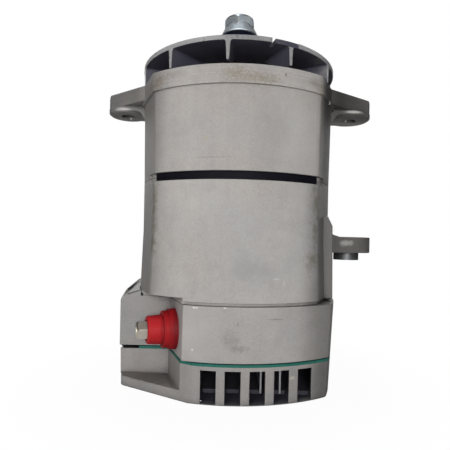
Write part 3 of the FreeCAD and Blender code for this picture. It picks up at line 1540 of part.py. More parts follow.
def build():
    """All sub-parts by node name."""
    front_outer, front_inner, front_ball_set, front_cage = front_bearing()
    rear_outer, rear_inner, rear_roller_set, rear_cage = rear_bearing()
    bobbin, coil = rotor_coil_parts()
    return {
        "drive_end_housing": drive_end_housing(),
        "rear_housing": rear_housing(),
        "rectifier_housing": rectifier_housing(),
        "end_gasket": end_gasket(),
        "end_cover": end_cover(),
        "stator_core": stator_core(),
        "stator_winding": stator_winding(),
        "through_bolts": through_bolts(),
        "front_bearing_outer_ring": front_outer,
        "front_bearing_inner_ring": front_inner,
        "front_bearing_balls": front_ball_set,
        "front_bearing_cage": front_cage,
        "rear_bearing_outer_ring": rear_outer,
        "rear_bearing_inner_ring": rear_inner,
        "rear_bearing_rollers": rear_roller_set,
        "rear_bearing_cage": rear_cage,
        "bearing_retainer": bearing_retainer(),
        "retainer_screws": retainer_screws(),
        "shaft": shaft(),
        "pulley_key": pulley_key(),
        "front_claw_pole": claw_pole(True),
        "rear_claw_pole": claw_pole(False),
        "field_bobbin": bobbin,
        "field_coil": coil,
        "slip_rings": slip_rings(),
        "slip_ring_carrier": slip_ring_carrier(),
        "fan": fan(),
        "fan_spacer": fan_spacer(),
        "shaft_washer": shaft_washer(),
        "shaft_nut": shaft_nut(),
        "brush_holder": brush_holder(),
        "lower_brush": brush(z_ring_low),
        "upper_brush": brush(z_ring_high),
        "lower_brush_spring": brush_spring(z_ring_low),
        "upper_brush_spring": brush_spring(z_ring_high),
        "voltage_regulator": voltage_regulator(),
        "positive_heat_sink": positive_heat_sink(),
        "negative_heat_sink": negative_heat_sink(),
        "positive_diodes": diodes(diode_row_x, z_positive_plate),
        "negative_diodes": diodes(negative_diode_x, z_negative_plate),
        "rectifier_insulators": rectifier_insulators(),
        "rectifier_bolts": rectifier_bolts(),
        "bus_bar": bus_bar(),
        "output_stud": output_stud(),
        "stud_insulator": stud_insulator(),
        "stud_inner_nut": stud_inner_nut(),
        "terminal_boot": terminal_boot(),
        "terminal_washer": terminal_washer(),
        "terminal_nut": terminal_nut(),
        "cover_screws": cover_screws(),
        "skirt_screws": skirt_screws(),
        "pivot_bush": pivot_bush(),
    }


def main():
    os.makedirs("parts", exist_ok=True)
    for name, shape in build().items():
        shape.exportStep(os.path.join("parts", name + ".step"))
        print(name, len(shape.Solids), shape.isValid(), round(shape.Volume))


main()
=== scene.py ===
"""Looks of the alternator: materials, fine pieces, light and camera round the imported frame.

Lengths are in metres. The front of the alternator faces -Y, and its shaft stands along Z.
"""

import bmesh
import bpy
import json
import math
from mathutils import Matrix, Vector

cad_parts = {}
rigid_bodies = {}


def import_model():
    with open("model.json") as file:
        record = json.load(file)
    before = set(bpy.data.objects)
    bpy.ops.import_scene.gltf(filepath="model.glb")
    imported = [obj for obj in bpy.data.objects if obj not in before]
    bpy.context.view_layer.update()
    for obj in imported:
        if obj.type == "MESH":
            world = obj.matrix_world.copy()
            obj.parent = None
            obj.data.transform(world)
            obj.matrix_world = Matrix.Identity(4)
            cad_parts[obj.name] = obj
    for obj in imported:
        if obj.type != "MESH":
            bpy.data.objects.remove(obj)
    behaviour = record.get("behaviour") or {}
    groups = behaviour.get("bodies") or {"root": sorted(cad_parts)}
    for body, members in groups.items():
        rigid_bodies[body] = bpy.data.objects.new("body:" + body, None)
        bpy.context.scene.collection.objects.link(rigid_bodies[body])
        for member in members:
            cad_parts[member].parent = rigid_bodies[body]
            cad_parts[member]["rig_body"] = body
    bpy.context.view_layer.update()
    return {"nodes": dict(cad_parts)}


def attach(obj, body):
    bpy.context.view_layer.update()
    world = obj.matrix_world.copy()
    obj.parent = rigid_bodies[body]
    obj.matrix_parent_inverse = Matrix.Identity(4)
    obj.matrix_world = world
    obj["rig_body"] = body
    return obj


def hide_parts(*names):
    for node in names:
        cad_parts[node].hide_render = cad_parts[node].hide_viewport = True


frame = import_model()
NODES = frame["nodes"]

# Camera solved from the photograph: pixels of a 450 x 450 picture, sensor in millimetres
IMAGE = 450
FOCAL_PIXELS = 424.0
SENSOR = 36.0
EYE = (0.0, -0.470, 0.1465)
CENTRE_X = 235.3
CENTRE_Y = 241.0
ROLL = 0.021
CLIP_START = 0.01

# Rounding that the mould or the deburring leaves on the edges of the castings
SOFT_EDGES = {
    "drive_end_housing": 0.0007, "rear_housing": 0.0007,
    "rectifier_housing": 0.0007, "end_cover": 0.0004,
}
BEVEL_STEPS = 2
BEVEL_PROFILE = 0.5
WELD = 2e-6
FLAT_ANGLE = math.radians(0.4)
SHARP_ANGLE = math.radians(28.0)
SMOOTH_ANGLE = math.radians(32.0)

# Block roof: it turns up about its inner edge, and less at the front
ROOF_LOW = 0.0805
ROOF_HINGE = -0.0914
ROOF_TURN = 0.20
ROOF_FRONT = -0.0370
ROOF_RUN = 0.0180
ROOF_FRONT_SHARE = 0.15
# Cover: draft of its left wall and of the apron's tip
DRAFT_SIDE = -0.1080
DRAFT_TOP = 0.0350
DRAFT_STEP = 0.0010
DRAFT_LEAN = 0.0008
TIP_FRONT = -0.0385
TIP_TOP = 0.0105
TIP_INWARD = 0.0020

# Shaft nut: half width across its flats, turn, dome, and the skirt as heights and radii
NUT_STEPS = 120
NUT_SHARP = math.radians(24.0)
NUT_INNER = 0.0150
NUT_TURN = math.radians(22.0)
NUT_DOME_LOW = 0.3850
NUT_DOME_RADIUS = 0.0126
NUT_DOME_BULGE = 0.0048
NUT_DOME_STEPS = 14
NUT_SKIRT = (
    (0.3706, 0.0192), (0.3707, 0.0202), (0.3711, 0.0205), (0.3717, 0.0204), (0.3728, 0.0199),
    (0.3742, 0.0192), (0.3756, 0.0185), (0.3770, 0.0178), (0.3784, 0.0171), (0.3798, 0.0164),
    (0.3812, 0.0157), (0.3828, 0.0149),
)
NUT_RIM_TOP = NUT_SKIRT[2][0]
NUT_CONE_HEIGHT, NUT_CONE_RADIUS = NUT_SKIRT[4]
NUT_CONE_SLOPE = 0.5
# Ring under the nut: chamfer of its edges
WASHER_EDGE = 0.0004

# Painted side shade on the castings: where it starts and ends across the width, and how much it
# takes away
NO_SIDE_SHADE = (0.010, 0.050, 0.0)
SIDE_SHADE_LEFT = (0.060, 0.084, 0.38)
SIDE_SHADE_MIDDLE = (0.004, 0.052, 0.15)
DRIVE_RIGHT = (0.072, 0.087, 0.80)
REAR_RIGHT = (0.058, 0.088, 0.62)
SKIRT_LEFT = (0.054, 0.084, 0.18)
SKIRT_RIGHT = (0.050, 0.086, 0.42)
SKIRT_MIDDLE = (0.008, 0.052, 0.07)
COVER_RIGHT = (0.060, 0.086, 0.44)
# The painted shade on the right flank fades to this share between two depths
FLANK_FRONT = -0.045
FLANK_BACK = 0.005
FLANK_REST = 0.40
# Painted shade on the ears and the lug
EAR_START = 0.1000
EAR_SOFT = 0.012
EAR_LOW = 0.200
EAR_LOW_SOFT = 0.004
EAR_FRONT = -0.004
EAR_FRONT_SOFT = 0.010
EAR_LEFT = 0.20
EAR_RIGHT = 0.42

# Air slots of the cover: the bow of its faces, and the depths over which the light ends behind them
ARC_RADIUS = 0.155
ARC_CENTRE = -0.0554
SLOT_FADE_START = 0.0010
SLOT_FADE_END = 0.0150
# Heights and widths that the painted shade takes in, with the soft width of each limit
SLOT_FLOOR = 0.0002
SLOT_FLOOR_SOFT = 0.0012
SLOT_LEFT = -0.0315
SLOT_LEFT_SOFT = 0.0008
SLOT_REACH = 0.078
SLOT_REACH_SOFT = 0.002
# Painted shade on the sill in front of each slot
SLOT_FIRST = -0.0218
SLOT_PITCH = 0.0220
SLOT_HALF = 0.0071
SLOT_COUNT = 5
SLOT_SOFT = 0.0004
SILL_FACE = 0.080
SILL_FACE_SOFT = 0.002
SILL_TOP = 0.0014
SILL_SOFT = 0.0003
SILL_SHADE = 0.85

# Noises: scale, detail, roughness, stretch, offset
EVEN = (1.0, 1.0, 1.0)
CAST_CLOUD = (9.0, 4.0, 0.5)
CAST_MOTTLE = (75.0, 4.0, 0.62)
CAST_FINE = (520.0, 3.0, 0.7)
CAST_GRIT = (1300.0, 2.0, 0.6)
CAST_STREAK = (60.0, 3.0, 0.6, (1.0, 1.0, 0.12), (0.3, 0.2, 0.0))
CAST_COOL = (14.0, 3.0, 0.5, EVEN, (0.4, 0.1, 0.7))
CAST_SPECKS = (900.0, 2.0, 0.5, EVEN, (0.2, 0.5, 0.1))
CAST_DOTS = (520.0, 2.0, 0.5, EVEN, (0.6, 0.3, 0.4))
CAST_LINES = (70.0, 3.0, 0.6, (0.3, 0.3, 14.0), (0.2, 0.4, 0.1))
METAL_CLOUD = (60.0, 3.0)
PLATE_CLOUD = (140.0, 4.0, 0.6, EVEN, (0.3, 0.2, 0.6))
SKIN_CLOUD = (45.0, 3.0)
RUBBER_SKIN = (500.0, 3.0, 0.6)
TERMINAL_LINES = (500.0, 3.0, 0.6)
NUT_LINES = (700.0, 3.0, 0.6)
SHEET_ROUGH = (300.0, 3.0, 0.6)
SHEET_CLOUD = (30.0,)
FAN_CLOUD = (25.0,)
FAN_WEAR = (420.0, 4.0, 0.7)
FAN_DUST = (36.0, 4.0, 0.6, EVEN, (0.1, 0.2, 0.3))
FAN_LINES = (900.0, 2.0, 0.6, (1.0, 1.0, 6.0))
FAN_PITS = (330.0, 3.0, 0.65, EVEN, (0.7, 0.1, 0.2))
WIRE_ROUGH = (160.0, 4.0, 0.6)
# Range in which a noise moves
SWING_RANGE = (0.3, 0.7)
# Samples of the nodes that look for recesses and for edges
HOLLOW_SAMPLES = 8
EDGE_SAMPLES = 6
# Ragged patches: where the blend lies, detail and swing of their grain, and how soft they are
SPOT_REACH = 0.65
SPOT_DETAIL = 4.0
SPOT_SWING = 4.0
STAIN_SOFT = 1.9
NICK_SOFT = 0.8
GLINT_SOFT = 0.9

# Castings: how far each noise swings the tone, and how much of each mark shows
CLOUD_SWING = 0.34
MOTTLE_SWING = 0.30
FINE_SWING = 0.34
GRIT_SWING = 0.30
STREAK_SWING = 0.22
LINE_SWING = 0.42
LINE_SOFT = 0.001
COOL_TINT = (0.93, 0.965, 1.02)
COOL_RANGE = (0.40, 0.64)
COOL_SHARE = 0.6
SPECK_RANGE = (0.70, 0.77)
SPECK_SHARE = 0.30
DOT_RANGE = (0.75, 0.81)
DOT_SHARE = 0.35
# Painted shade in recesses, near and deep: reach and blend; and the worn edges
NEAR_HOLLOW = (0.010, 0.35, 0.92)
NEAR_SHARE = (0.3, 0.6, 0.35, 0.75)
DEEP_HOLLOW = (0.060, 0.12, 0.42)
DEEP_SHARE = 0.92
WORN_REACH = 0.0014
WORN_SHARE = (0.35, 0.65, 0.10, 0.50)
# Sheen of the castings, and the distances that their grain and their mottle stand out
CAST_METALLIC = 0.12
CAST_ROUGHNESS = (0.58, 0.76)
CAST_SPECULAR = 0.16
CAST_FINE_BUMP = 0.00026
CAST_MOTTLE_BUMP = 0.0006
# Strengths of the bumps
FIRM = 0.6
SOFT = 0.4
# Fine turned lines run above this height on the drive end
LIP_LOW = 0.2835

# Metals and mouldings: detail and roughness of their noise, and how far it swings their sheen
LINE_DETAIL = (3.0, 0.6)
PLATE_RANGE = (0.45, 0.65)
METAL_LOW, METAL_HIGH = 0.85, 1.20
SKIN_LOW, SKIN_HIGH = 0.88, 1.12

# Rubber boot: where the painted shade on the collar, the painted shadow by the wall and the
# darkening below begin, and its reds
BOOT_COLLAR = -0.0672
BOOT_COLLAR_SOFT = 0.001
BOOT_WALL = -0.0590
BOOT_WALL_RUN = 0.006
BOOT_LOW = 0.0600
BOOT_LOW_RUN = 0.012
BOOT_HOLLOW = (0.006, 0.45, 0.95)
BOOT_EDGE = 0.0008
BOOT_COLLAR_SHARE = 0.42
BOOT_WALL_SHARE = 0.65
BOOT_LOW_SHARE = 0.30
BOOT_HOLLOW_SHARE = 0.6
BOOT_WORN_SHARE = 0.35
BOOT_ROUGHNESS = (0.46, 0.58)
BOOT_SPECULAR = 0.15
BOOT_BUMP = 0.00005
BOOT_RED = (0.43, 0.016, 0.020)
BOOT_COLLAR_SHADE_RED = (0.20, 0.002, 0.005)
BOOT_WALL_SHADOW_RED = (0.08, 0.003, 0.006)
BOOT_LOW_RED = (0.14, 0.004, 0.008)
BOOT_GROOVE_SHADE_RED = (0.09, 0.003, 0.006)
BOOT_WORN_RED = (0.55, 0.06, 0.06)
# Terminal nut: painted shade lies above this height and painted light below it
TERMINAL_LEVEL = 0.0632
TERMINAL_SOFT = 0.001
TERMINAL_LIT = (0.60, 0.575, 0.50)
TERMINAL_SHADED = (0.195, 0.175, 0.150)
TERMINAL_METALLIC = 0.7
TERMINAL_ROUGHNESS = (0.34, 0.46)
# Distance that the fine lines of both nuts stand out
ZINC_BUMP = 0.00004
# Shaft nut: its plate, and the painted shade on its skirt and on its dome, with the heights and the
# widths of the blends
NUT_PLATE = (0.66, 0.74, 0.82)
NUT_PLATE_PALE = (0.80, 0.87, 0.87)
NUT_PALE_RANGE = (0.40, 0.65)
NUT_SKIRT_SHADE = (0.215, 0.245, 0.27)
NUT_SKIRT_SOFT = (0.00012, 0.00026)
NUT_SKIRT_START = (0.3718, 0.3724)
NUT_DOME_SHADE = (0.035, 0.042, 0.050)
NUT_DOME_SHADE_START = 0.3892
NUT_DOME_SOFT = 0.0008
NUT_DOME_SHARE = 0.80
NUT_METALLIC = 0.8
NUT_ROUGHNESS = (0.30, 0.40)
# Stator sheets
SHEET_BLACK = (0.0062, 0.0062, 0.0095)
SHEET_PITCH = 0.0010
SHEET_ROUGHNESS = (0.48, 0.60)
SHEET_SPECULAR = 0.05
# Fan: paint, dust, and the bare metal beyond a radius, with painted light that brightens it from
# the middle to the sides
FAN_PAINT = (0.064, 0.063, 0.086)
FAN_DUST_TONE = (0.105, 0.098, 0.094)
FAN_DUST_RANGE = (0.45, 0.75)
FAN_DUST_SHARE = 0.40
FAN_BARE = (0.30, 0.30, 0.305)
FAN_BARE_PAINTED_LIGHT = (0.010, 0.070, 0.60, 1.68)
FAN_BARE_EDGE = (0.10150, 0.10172)
FAN_BARE_RAGGED = 0.0004
FAN_BARE_METALLIC = 0.35
FAN_PIT_TONE = (0.05, 0.05, 0.06)
FAN_PIT_RANGE = (0.60, 0.66)
FAN_PIT_SHARE = 0.75
FAN_ROUGHNESS = (0.50, 0.48)
FAN_SPECULAR = 0.3
# Copper windings
WIRE_COPPER = (0.34, 0.11, 0.05)
WIRE_VARNISH = (0.03, 0.012, 0.008)
WIRE_GROOVE = (-0.9, -0.2, 0.7, 0.0)
WIRE_METALLIC = 0.45
WIRE_ROUGHNESS = 0.38

BROWN = (0.21, 0.165, 0.105)
OLIVE = (0.20, 0.19, 0.14)
# Next two: soot for the specks and painted shade in near recesses; black painted shade deep in
# recesses and air slots
SOOT_AND_SHADE = (0.115, 0.112, 0.110)
DEEP_SHADE_BLACK = (0.034, 0.034, 0.052)
PALE = (0.66, 0.655, 0.64)
NICK = (0.85, 0.85, 0.84)
GLINT = (0.85, 0.85, 0.85)
# Painted shade on the block roof
ROOF_SHADE = (0.04, 0.04, 0.042)
SMUDGE = (0.14, 0.14, 0.14)

# Patches on the fan and the castings: centre, half sizes, colour, strength, raggedness, grain; the
# fan's patch is dust and painted light on a blade face
FAN_DUST_AND_LIGHT = (
    ((0.0790, -0.0600, 0.3130), (0.016, 0.016, 0.011), (0.30, 0.295, 0.29), 0.90, 0.3, 120.0),
)
DRIVE_STAINS = (
    ((0.0580, -0.0800, 0.2400), (0.0200, 0.030, 0.0400), (0.50, 0.48, 0.465), 0.50, 0.2, 60.0),
    ((-0.0727, -0.0783, 0.2937), (0.010, 0.012, 0.007), BROWN, 0.55, 0.7, 420.0),
    ((-0.0768, -0.0754, 0.2885), (0.007, 0.010, 0.005), BROWN, 0.45, 0.7, 420.0),
    ((-0.0600, -0.0860, 0.2960), (0.012, 0.010, 0.003), OLIVE, 0.35, 0.7, 420.0),
    ((-0.0020, -0.1005, 0.2925), (0.013, 0.010, 0.007), BROWN, 0.48, 0.75, 520.0),
    ((0.0168, -0.0994, 0.2902), (0.015, 0.010, 0.0055), BROWN, 0.50, 0.75, 520.0),
    ((0.0300, -0.0970, 0.2890), (0.008, 0.010, 0.004), OLIVE, 0.42, 0.75, 520.0),
    ((0.0779, -0.0746, 0.2893), (0.007, 0.008, 0.006), BROWN, 0.50, 0.7, 480.0),
    ((0.0703, -0.0799, 0.2925), (0.007, 0.008, 0.004), OLIVE, 0.45, 0.7, 480.0),
    ((0.0419, -0.0936, 0.2948), (0.0007, 0.004, 0.0016), (0.03, 0.02, 0.015), 0.9, 0.2, 400.0),
    ((-0.0288, -0.0938, 0.2373), (0.0035, 0.006, 0.0012), (0.42, 0.36, 0.16), 0.45, 0.8, 400.0),
    ((-0.0222, -0.0951, 0.2203), (0.020, 0.006, 0.0006), (0.17, 0.165, 0.16), 0.55, 0.5, 260.0),
    ((0.0350, -0.0930, 0.2500), (0.018, 0.010, 0.020), (0.30, 0.29, 0.285), 0.45, 0.8, 60.0),
    ((0.0882, -0.0625, 0.2810), (0.0012, 0.002, 0.0022), NICK, 0.95, 0.2, 400.0),
)
REAR_STAINS = (
    ((-0.0784, -0.0707, 0.1882), (0.0060, 0.008, 0.016), OLIVE, 0.62, 0.9, 150.0),
    ((-0.0777, -0.0712, 0.1599), (0.0045, 0.008, 0.020), OLIVE, 0.65, 0.9, 150.0),
    ((-0.0783, -0.0707, 0.1411), (0.0035, 0.008, 0.010), OLIVE, 0.55, 0.9, 150.0),
    ((0.0747, -0.0734, 0.1864), (0.0050, 0.008, 0.016), OLIVE, 0.62, 1.0, 180.0),
    ((0.0743, -0.0737, 0.1583), (0.0035, 0.008, 0.012), OLIVE, 0.60, 1.0, 180.0),
    ((0.0728, -0.0747, 0.1322), (0.0070, 0.008, 0.010), OLIVE, 0.70, 1.0, 180.0),
    ((0.0367, -0.0917, 0.1134), (0.0040, 0.004, 0.0005), NICK, 0.60, 0.3, 400.0),
    ((0.0443, -0.0892, 0.1095), (0.0004, 0.004, 0.0040), NICK, 0.55, 0.3, 400.0),
    ((0.0135, -0.0963, 0.1212), (0.0260, 0.012, 0.012), (0.29, 0.285, 0.28), 0.50, 0.9, 60.0),
    ((-0.0321, -0.0930, 0.1778), (0.0200, 0.012, 0.016), (0.46, 0.45, 0.43), 0.40, 0.9, 60.0),
    ((0.0927, -0.0581, 0.1135), (0.0012, 0.002, 0.0020), NICK, 0.95, 0.2, 400.0),
)
SKIRT_STAINS = (
    ((-0.0420, -0.0930, 0.0640), (0.0320, 0.020, 0.0300), (0.47, 0.455, 0.44), 0.55, 0.2, 60.0),
    ((-0.0010, -0.0985, 0.0580), (0.0075, 0.006, 0.0040), SMUDGE, 0.40, 0.6, 260.0),
    ((0.0043, -0.0984, 0.0520), (0.0085, 0.006, 0.0030), SMUDGE, 0.42, 0.6, 260.0),
    ((-0.0046, -0.0984, 0.0640), (0.0060, 0.006, 0.0040), (0.17, 0.17, 0.17), 0.30, 0.6, 260.0),
    ((0.0039, -0.0985, 0.0735), (0.0006, 0.003, 0.0016), (0.04, 0.04, 0.04), 0.80, 0.2, 400.0),
    ((0.0366, -0.0941, 0.0777), (0.0080, 0.004, 0.0006), (0.12, 0.12, 0.12), 0.70, 0.4, 300.0),
    ((-0.0344, -0.0946, 0.0868), (0.0035, 0.004, 0.0010), NICK, 0.85, 0.5, 400.0),
    ((-0.0083, -0.0983, 0.0876), (0.0026, 0.004, 0.0008), NICK, 0.70, 0.5, 400.0),
    ((-0.0363, -0.0942, 0.0491), (0.0012, 0.003, 0.0016), NICK, 0.60, 0.3, 400.0),
    ((-0.0990, -0.0628, 0.0882), (0.0012, 0.003, 0.0012), (0.05, 0.05, 0.05), 0.80, 0.2, 400.0),
)
COVER_STAINS = (
    ((0.0539, -0.0865, 0.0237), (0.0024, 0.004, 0.0014), (0.62, 0.60, 0.50), 0.70, 0.4, 400.0),
    ((-0.0880, -0.0480, 0.0101), (0.0420, 0.030, 0.0012), (0.13, 0.12, 0.11), 0.75, 0.35, 160.0),
    ((0.0860, -0.0750, 0.0180), (0.0110, 0.020, 0.0300), (0.17, 0.165, 0.16), 0.50, 0.4, 160.0),
    ((-0.0560, -0.0600, 0.0200), (0.0120, 0.030, 0.0300), (0.25, 0.24, 0.23), 0.35, 0.4, 160.0),
)
# Painted highlights, laid over the painted side shade, in the same form
DRIVE_GLINTS = (
    ((0.1224, -0.0225, 0.2853), (0.0125, 0.010, 0.0020), (0.80, 0.78, 0.75), 0.50, 0.10, 300.0),
    ((-0.1220, -0.0204, 0.2838), (0.0110, 0.010, 0.0021), (0.62, 0.585, 0.575), 0.70, 0.10, 300.0),
    ((-0.1203, 0.0075, 0.2818), (0.0014, 0.004, 0.0014), GLINT, 0.95, 0.1, 400.0),
    ((0.1215, 0.0075, 0.2838), (0.0014, 0.004, 0.0014), GLINT, 0.95, 0.1, 400.0),
    ((0.0912, -0.0485, 0.2856), (0.0018, 0.004, 0.0022), GLINT, 0.95, 0.2, 400.0),
)
REAR_GLINTS = (
    ((0.1160, -0.0264, 0.1470), (0.0085, 0.008, 0.0042), (0.43, 0.42, 0.40), 0.60, 0.4, 160.0),
)
# Painted shade lines and one painted highlight line on the block roof, stain lines on the apron:
# two ends, half width, colour, strength
ROOF_STRIPES = (
    ((-0.1120, -0.0290, 0.0918), (-0.1075, 0.0121, 0.0987), 0.0030, ROOF_SHADE, 0.80),
    ((-0.1111, -0.0285, 0.0922), (-0.1017, -0.0144, 0.0965), 0.0026, (0.50, 0.49, 0.47), 0.60),
    ((-0.1081, -0.0370, 0.0903), (-0.0935, -0.0370, 0.0955), 0.0011, (0.07, 0.07, 0.072), 0.75),
    ((-0.1150, -0.0340, 0.0886), (-0.1120, -0.0310, 0.0906), 0.0026, ROOF_SHADE, 0.80),
)
APRON_STRIPES = (
    ((-0.1150, -0.0372, 0.0104), (-0.0680, -0.0372, 0.0104), 0.0014, (0.10, 0.085, 0.07), 0.75),
    ((-0.0685, -0.0380, 0.0104), (-0.0560, -0.0760, 0.0104), 0.0014, (0.10, 0.09, 0.08), 0.55),
)

# Lamps, all aimed at the middle of the object: name, place, size, power, colour
MIDDLE = (0.0, 0.0, 0.19)
LIGHTS = (
    ("key_light", (-0.45, -1.00, 0.50), 0.40, 3.0, (1.0, 0.985, 0.965)),
    ("front_light", (0.03, -1.22, 0.26), 0.40, 7.8, (1.0, 0.99, 0.975)),
    ("top_light", (-0.1, -0.2, 1.5), 0.8, 2.5, (0.97, 0.985, 1.0)),
    ("back_left_light", (-0.65, 1.25, 0.55), 0.6, 8.0, (1.0, 1.0, 1.0)),
    ("back_right_light", (0.65, 1.25, 0.45), 0.6, 8.0, (1.0, 1.0, 1.0)),
)
# Dark studio cards: name, near and far end on the floor
CARDS = (
    ("card_left", (-0.55, -0.75), (-0.55, 0.95)),
    ("card_right", (0.48, -0.80), (0.48, 0.95)),
    ("card_back", (-0.55, 0.95), (0.48, 0.95)),
)
CARD_HEIGHT = 1.1
CARD_FELT = (0.03, 0.03, 0.032)
WHITE = (1.0, 1.0, 1.0, 1.0)
WORLD_COLOUR = (0.95, 0.97, 1.0, 1.0)
WORLD_LEVEL = 0.16
# Floor: half width, drop below the feet, colour, and the share of white from near to far
FLOOR_HALF = 3.0
FLOOR_DROP = 0.0002
FLOOR_COLOUR = (0.80, 0.80, 0.80, 1.0)
FLOOR_WHITE = (0.12, 0.26, 0.965, 1.0)
# Floor hidden by the base, which openings in the cover must not show as white
UNDER_FRONT = -0.0816
UNDER_SOFT = 0.0002
UNDER_BACK = (0.0, 0.01)
UNDER_SIDE = (0.0500, 0.0540)


class Graph:
    """Small helper that builds the node tree of one material."""

    def __init__(self, name):
        self.material = bpy.data.materials.new(name)
        self.material.use_nodes = True
        self.tree = self.material.node_tree
        self.tree.nodes.clear()
        self.shader = self.tree.nodes.new("ShaderNodeBsdfPrincipled")
        self.output = self.tree.nodes.new("ShaderNodeOutputMaterial")
        self.tree.links.new(self.shader.outputs[0], self.output.inputs[0])
        coordinates = self.tree.nodes.new("ShaderNodeTexCoord")
        self.place = coordinates.outputs["Object"]

    def put(self, socket, value):
        """Give a socket a link, a colour or a number."""
        if isinstance(value, bpy.types.NodeSocket):
            self.tree.links.new(value, socket)
        elif isinstance(value, (tuple, list)) and len(value) == 3 and socket.type == "RGBA":
            socket.default_value = (*value, 1.0)
        else:
            socket.default_value = value

    def set(self, name, value):
        self.put(self.shader.inputs[name], value)

    def math(self, operation, first, second=0.0, clamp=False):
        item = self.tree.nodes.new("ShaderNodeMath")
        item.operation = operation
        item.use_clamp = clamp
        for socket, value in zip(item.inputs, (first, second)):
            self.put(socket, value)
        return item.outputs[0]

    def chain(self, operation, *values):
        """Values joined by one operation, from left to right."""
        result = values[0]
        for value in values[1:]:
            result = self.math(operation, result, value)
        return result

    def times(self, *values):
        return self.chain("MULTIPLY", *values)

    def plus(self, *values):
        return self.chain("ADD", *values)

    def minus(self, first, second):
        return self.math("SUBTRACT", first, second)

    def rest(self, value):
        """What a value leaves of 1."""
        return self.math("SUBTRACT", 1.0, value)

    def size(self, value):
        return self.math("ABSOLUTE", value)

    def vector(self, operation, first, second=None):
        """Node that works on vectors; the caller takes the output it needs."""
        item = self.tree.nodes.new("ShaderNodeVectorMath")
        item.operation = operation
        self.put(item.inputs[0], first)
        if second is not None:
            self.put(item.inputs[1], second)
        return item

    def noise(self, scale, detail=3.0, roughness=0.55, stretch=EVEN, offset=(0.0, 0.0, 0.0)):
        mapping = self.tree.nodes.new("ShaderNodeMapping")
        self.put(mapping.inputs["Vector"], self.place)
        mapping.inputs["Scale"].default_value = stretch
        mapping.inputs["Location"].default_value = offset
        item = self.tree.nodes.new("ShaderNodeTexNoise")
        self.put(item.inputs["Vector"], mapping.outputs[0])
        item.inputs["Scale"].default_value = scale
        item.inputs["Detail"].default_value = detail
        item.inputs["Roughness"].default_value = roughness
        return item.outputs["Fac"]

    def span(self, value, low, high, to_low=0.0, to_high=1.0, smooth=True):
        """Value mapped from one range to another, clamped."""
        item = self.tree.nodes.new("ShaderNodeMapRange")
        item.interpolation_type = "SMOOTHSTEP" if smooth else "LINEAR"
        item.clamp = True
        for name, number in zip(("Value", "From Min", "From Max", "To Min", "To Max"),
                                (value, low, high, to_low, to_high)):
            self.put(item.inputs[name], number)
        return item.outputs[0]

    def mix(self, factor, first, second, mode="MIX"):
        item = self.tree.nodes.new("ShaderNodeMix")
        item.data_type = "RGBA"
        item.blend_type = mode
        self.put(item.inputs["Factor"], factor)
        self.put(item.inputs[6], first)
        self.put(item.inputs[7], second)
        return item.outputs[2]

    def parts(self):
        """The three object coordinates."""
        item = self.tree.nodes.new("ShaderNodeSeparateXYZ")
        self.put(item.inputs[0], self.place)
        return item.outputs[0], item.outputs[1], item.outputs[2]

    def height(self):
        return self.parts()[2]

    def distance(self, across, along):
        """Length of a flat run."""
        return self.math("SQRT", self.plus(self.times(across, across), self.times(along, along)))

    def radius(self):
        """Distance from the shaft axis."""
        x, y, _ = self.parts()
        return self.distance(x, y)

    def beyond(self, value, edge, soft):
        """0 below an edge and 1 above it, blended over a soft width."""
        return self.span(value, edge - soft / 2, edge + soft / 2)

    def spot(self, centre, size, ragged, grain, soft):
        """Ragged patch round a point: 1 inside, 0 outside."""
        shift = self.vector("SUBTRACT", self.place, centre).outputs[0]
        length = self.vector("LENGTH", self.vector("DIVIDE", shift, size).outputs[0])
        edge = weighed(self, self.noise(grain, SPOT_DETAIL), SPOT_SWING * ragged)
        return self.span(self.plus(length.outputs["Value"], edge),
                         SPOT_REACH + soft / 2, SPOT_REACH - soft / 2)

    def stripe(self, start, end, width, soft=0.5):
        """1 along the line between two points, 0 away from it."""
        run = Vector(end) - Vector(start)
        shift = self.vector("SUBTRACT", self.place, start).outputs[0]
        part = self.vector("DOT_PRODUCT", shift, run / run.length_squared).outputs["Value"]
        along = self.vector("SCALE", run)
        self.put(along.inputs["Scale"], self.math("ADD", part, 0.0, clamp=True))
        off = self.vector("DISTANCE", shift, along.outputs[0]).outputs["Value"]
        return self.span(off, width * (1 - soft), width, 1.0, 0.0)

    def hollow(self, reach, low, high):
        """1 deep in recesses, 0 on open faces."""
        item = self.tree.nodes.new("ShaderNodeAmbientOcclusion")
        item.samples = HOLLOW_SAMPLES
        item.inputs["Distance"].default_value = reach
        return self.span(item.outputs["AO"], low, high, 1.0, 0.0)

    def edges(self, reach, low=0.01, high=0.22):
        """1 along sharp edges, 0 on flat ground."""
        item = self.tree.nodes.new("ShaderNodeBevel")
        item.samples = EDGE_SAMPLES
        item.inputs["Radius"].default_value = reach
        plain = self.tree.nodes.new("ShaderNodeNewGeometry")
        dot = self.vector("DOT_PRODUCT", item.outputs[0], plain.outputs["Normal"])
        return self.span(self.rest(dot.outputs["Value"]), low, high)

    def bump(self, height, distance, strength, normal=None):
        item = self.tree.nodes.new("ShaderNodeBump")
        item.inputs["Strength"].default_value = strength
        item.inputs["Distance"].default_value = distance
        self.put(item.inputs["Height"], height)
        if normal is not None:
            self.put(item.inputs["Normal"], normal)
        return item.outputs[0]


def weighed(graph, value, amount):
    """A noise centred on zero, times an amount."""
    return graph.times(graph.minus(value, 0.5), amount)


def scaled(graph, colour, level):
    """A colour times a level."""
    join = graph.tree.nodes.new("ShaderNodeCombineColor")
    for index in range(3):
        graph.put(join.inputs[index], level)
    return graph.mix(1.0, colour, join.outputs[0], "MULTIPLY")


def toned(graph, colour, *swings):
    """A colour lightened and darkened by centred noises."""
    return scaled(graph, colour, graph.plus(1.0, *swings))


def patched(graph, shade, patches, soft):
    """A colour with ragged patches on it; nicks have a harder edge."""
    for centre, size, tint, strength, ragged, grain in patches:
        edge = NICK_SOFT if tint is NICK else soft
        mask = graph.times(graph.spot(centre, size, ragged, grain, edge), strength)
        shade = graph.mix(mask, shade, tint)
    return shade


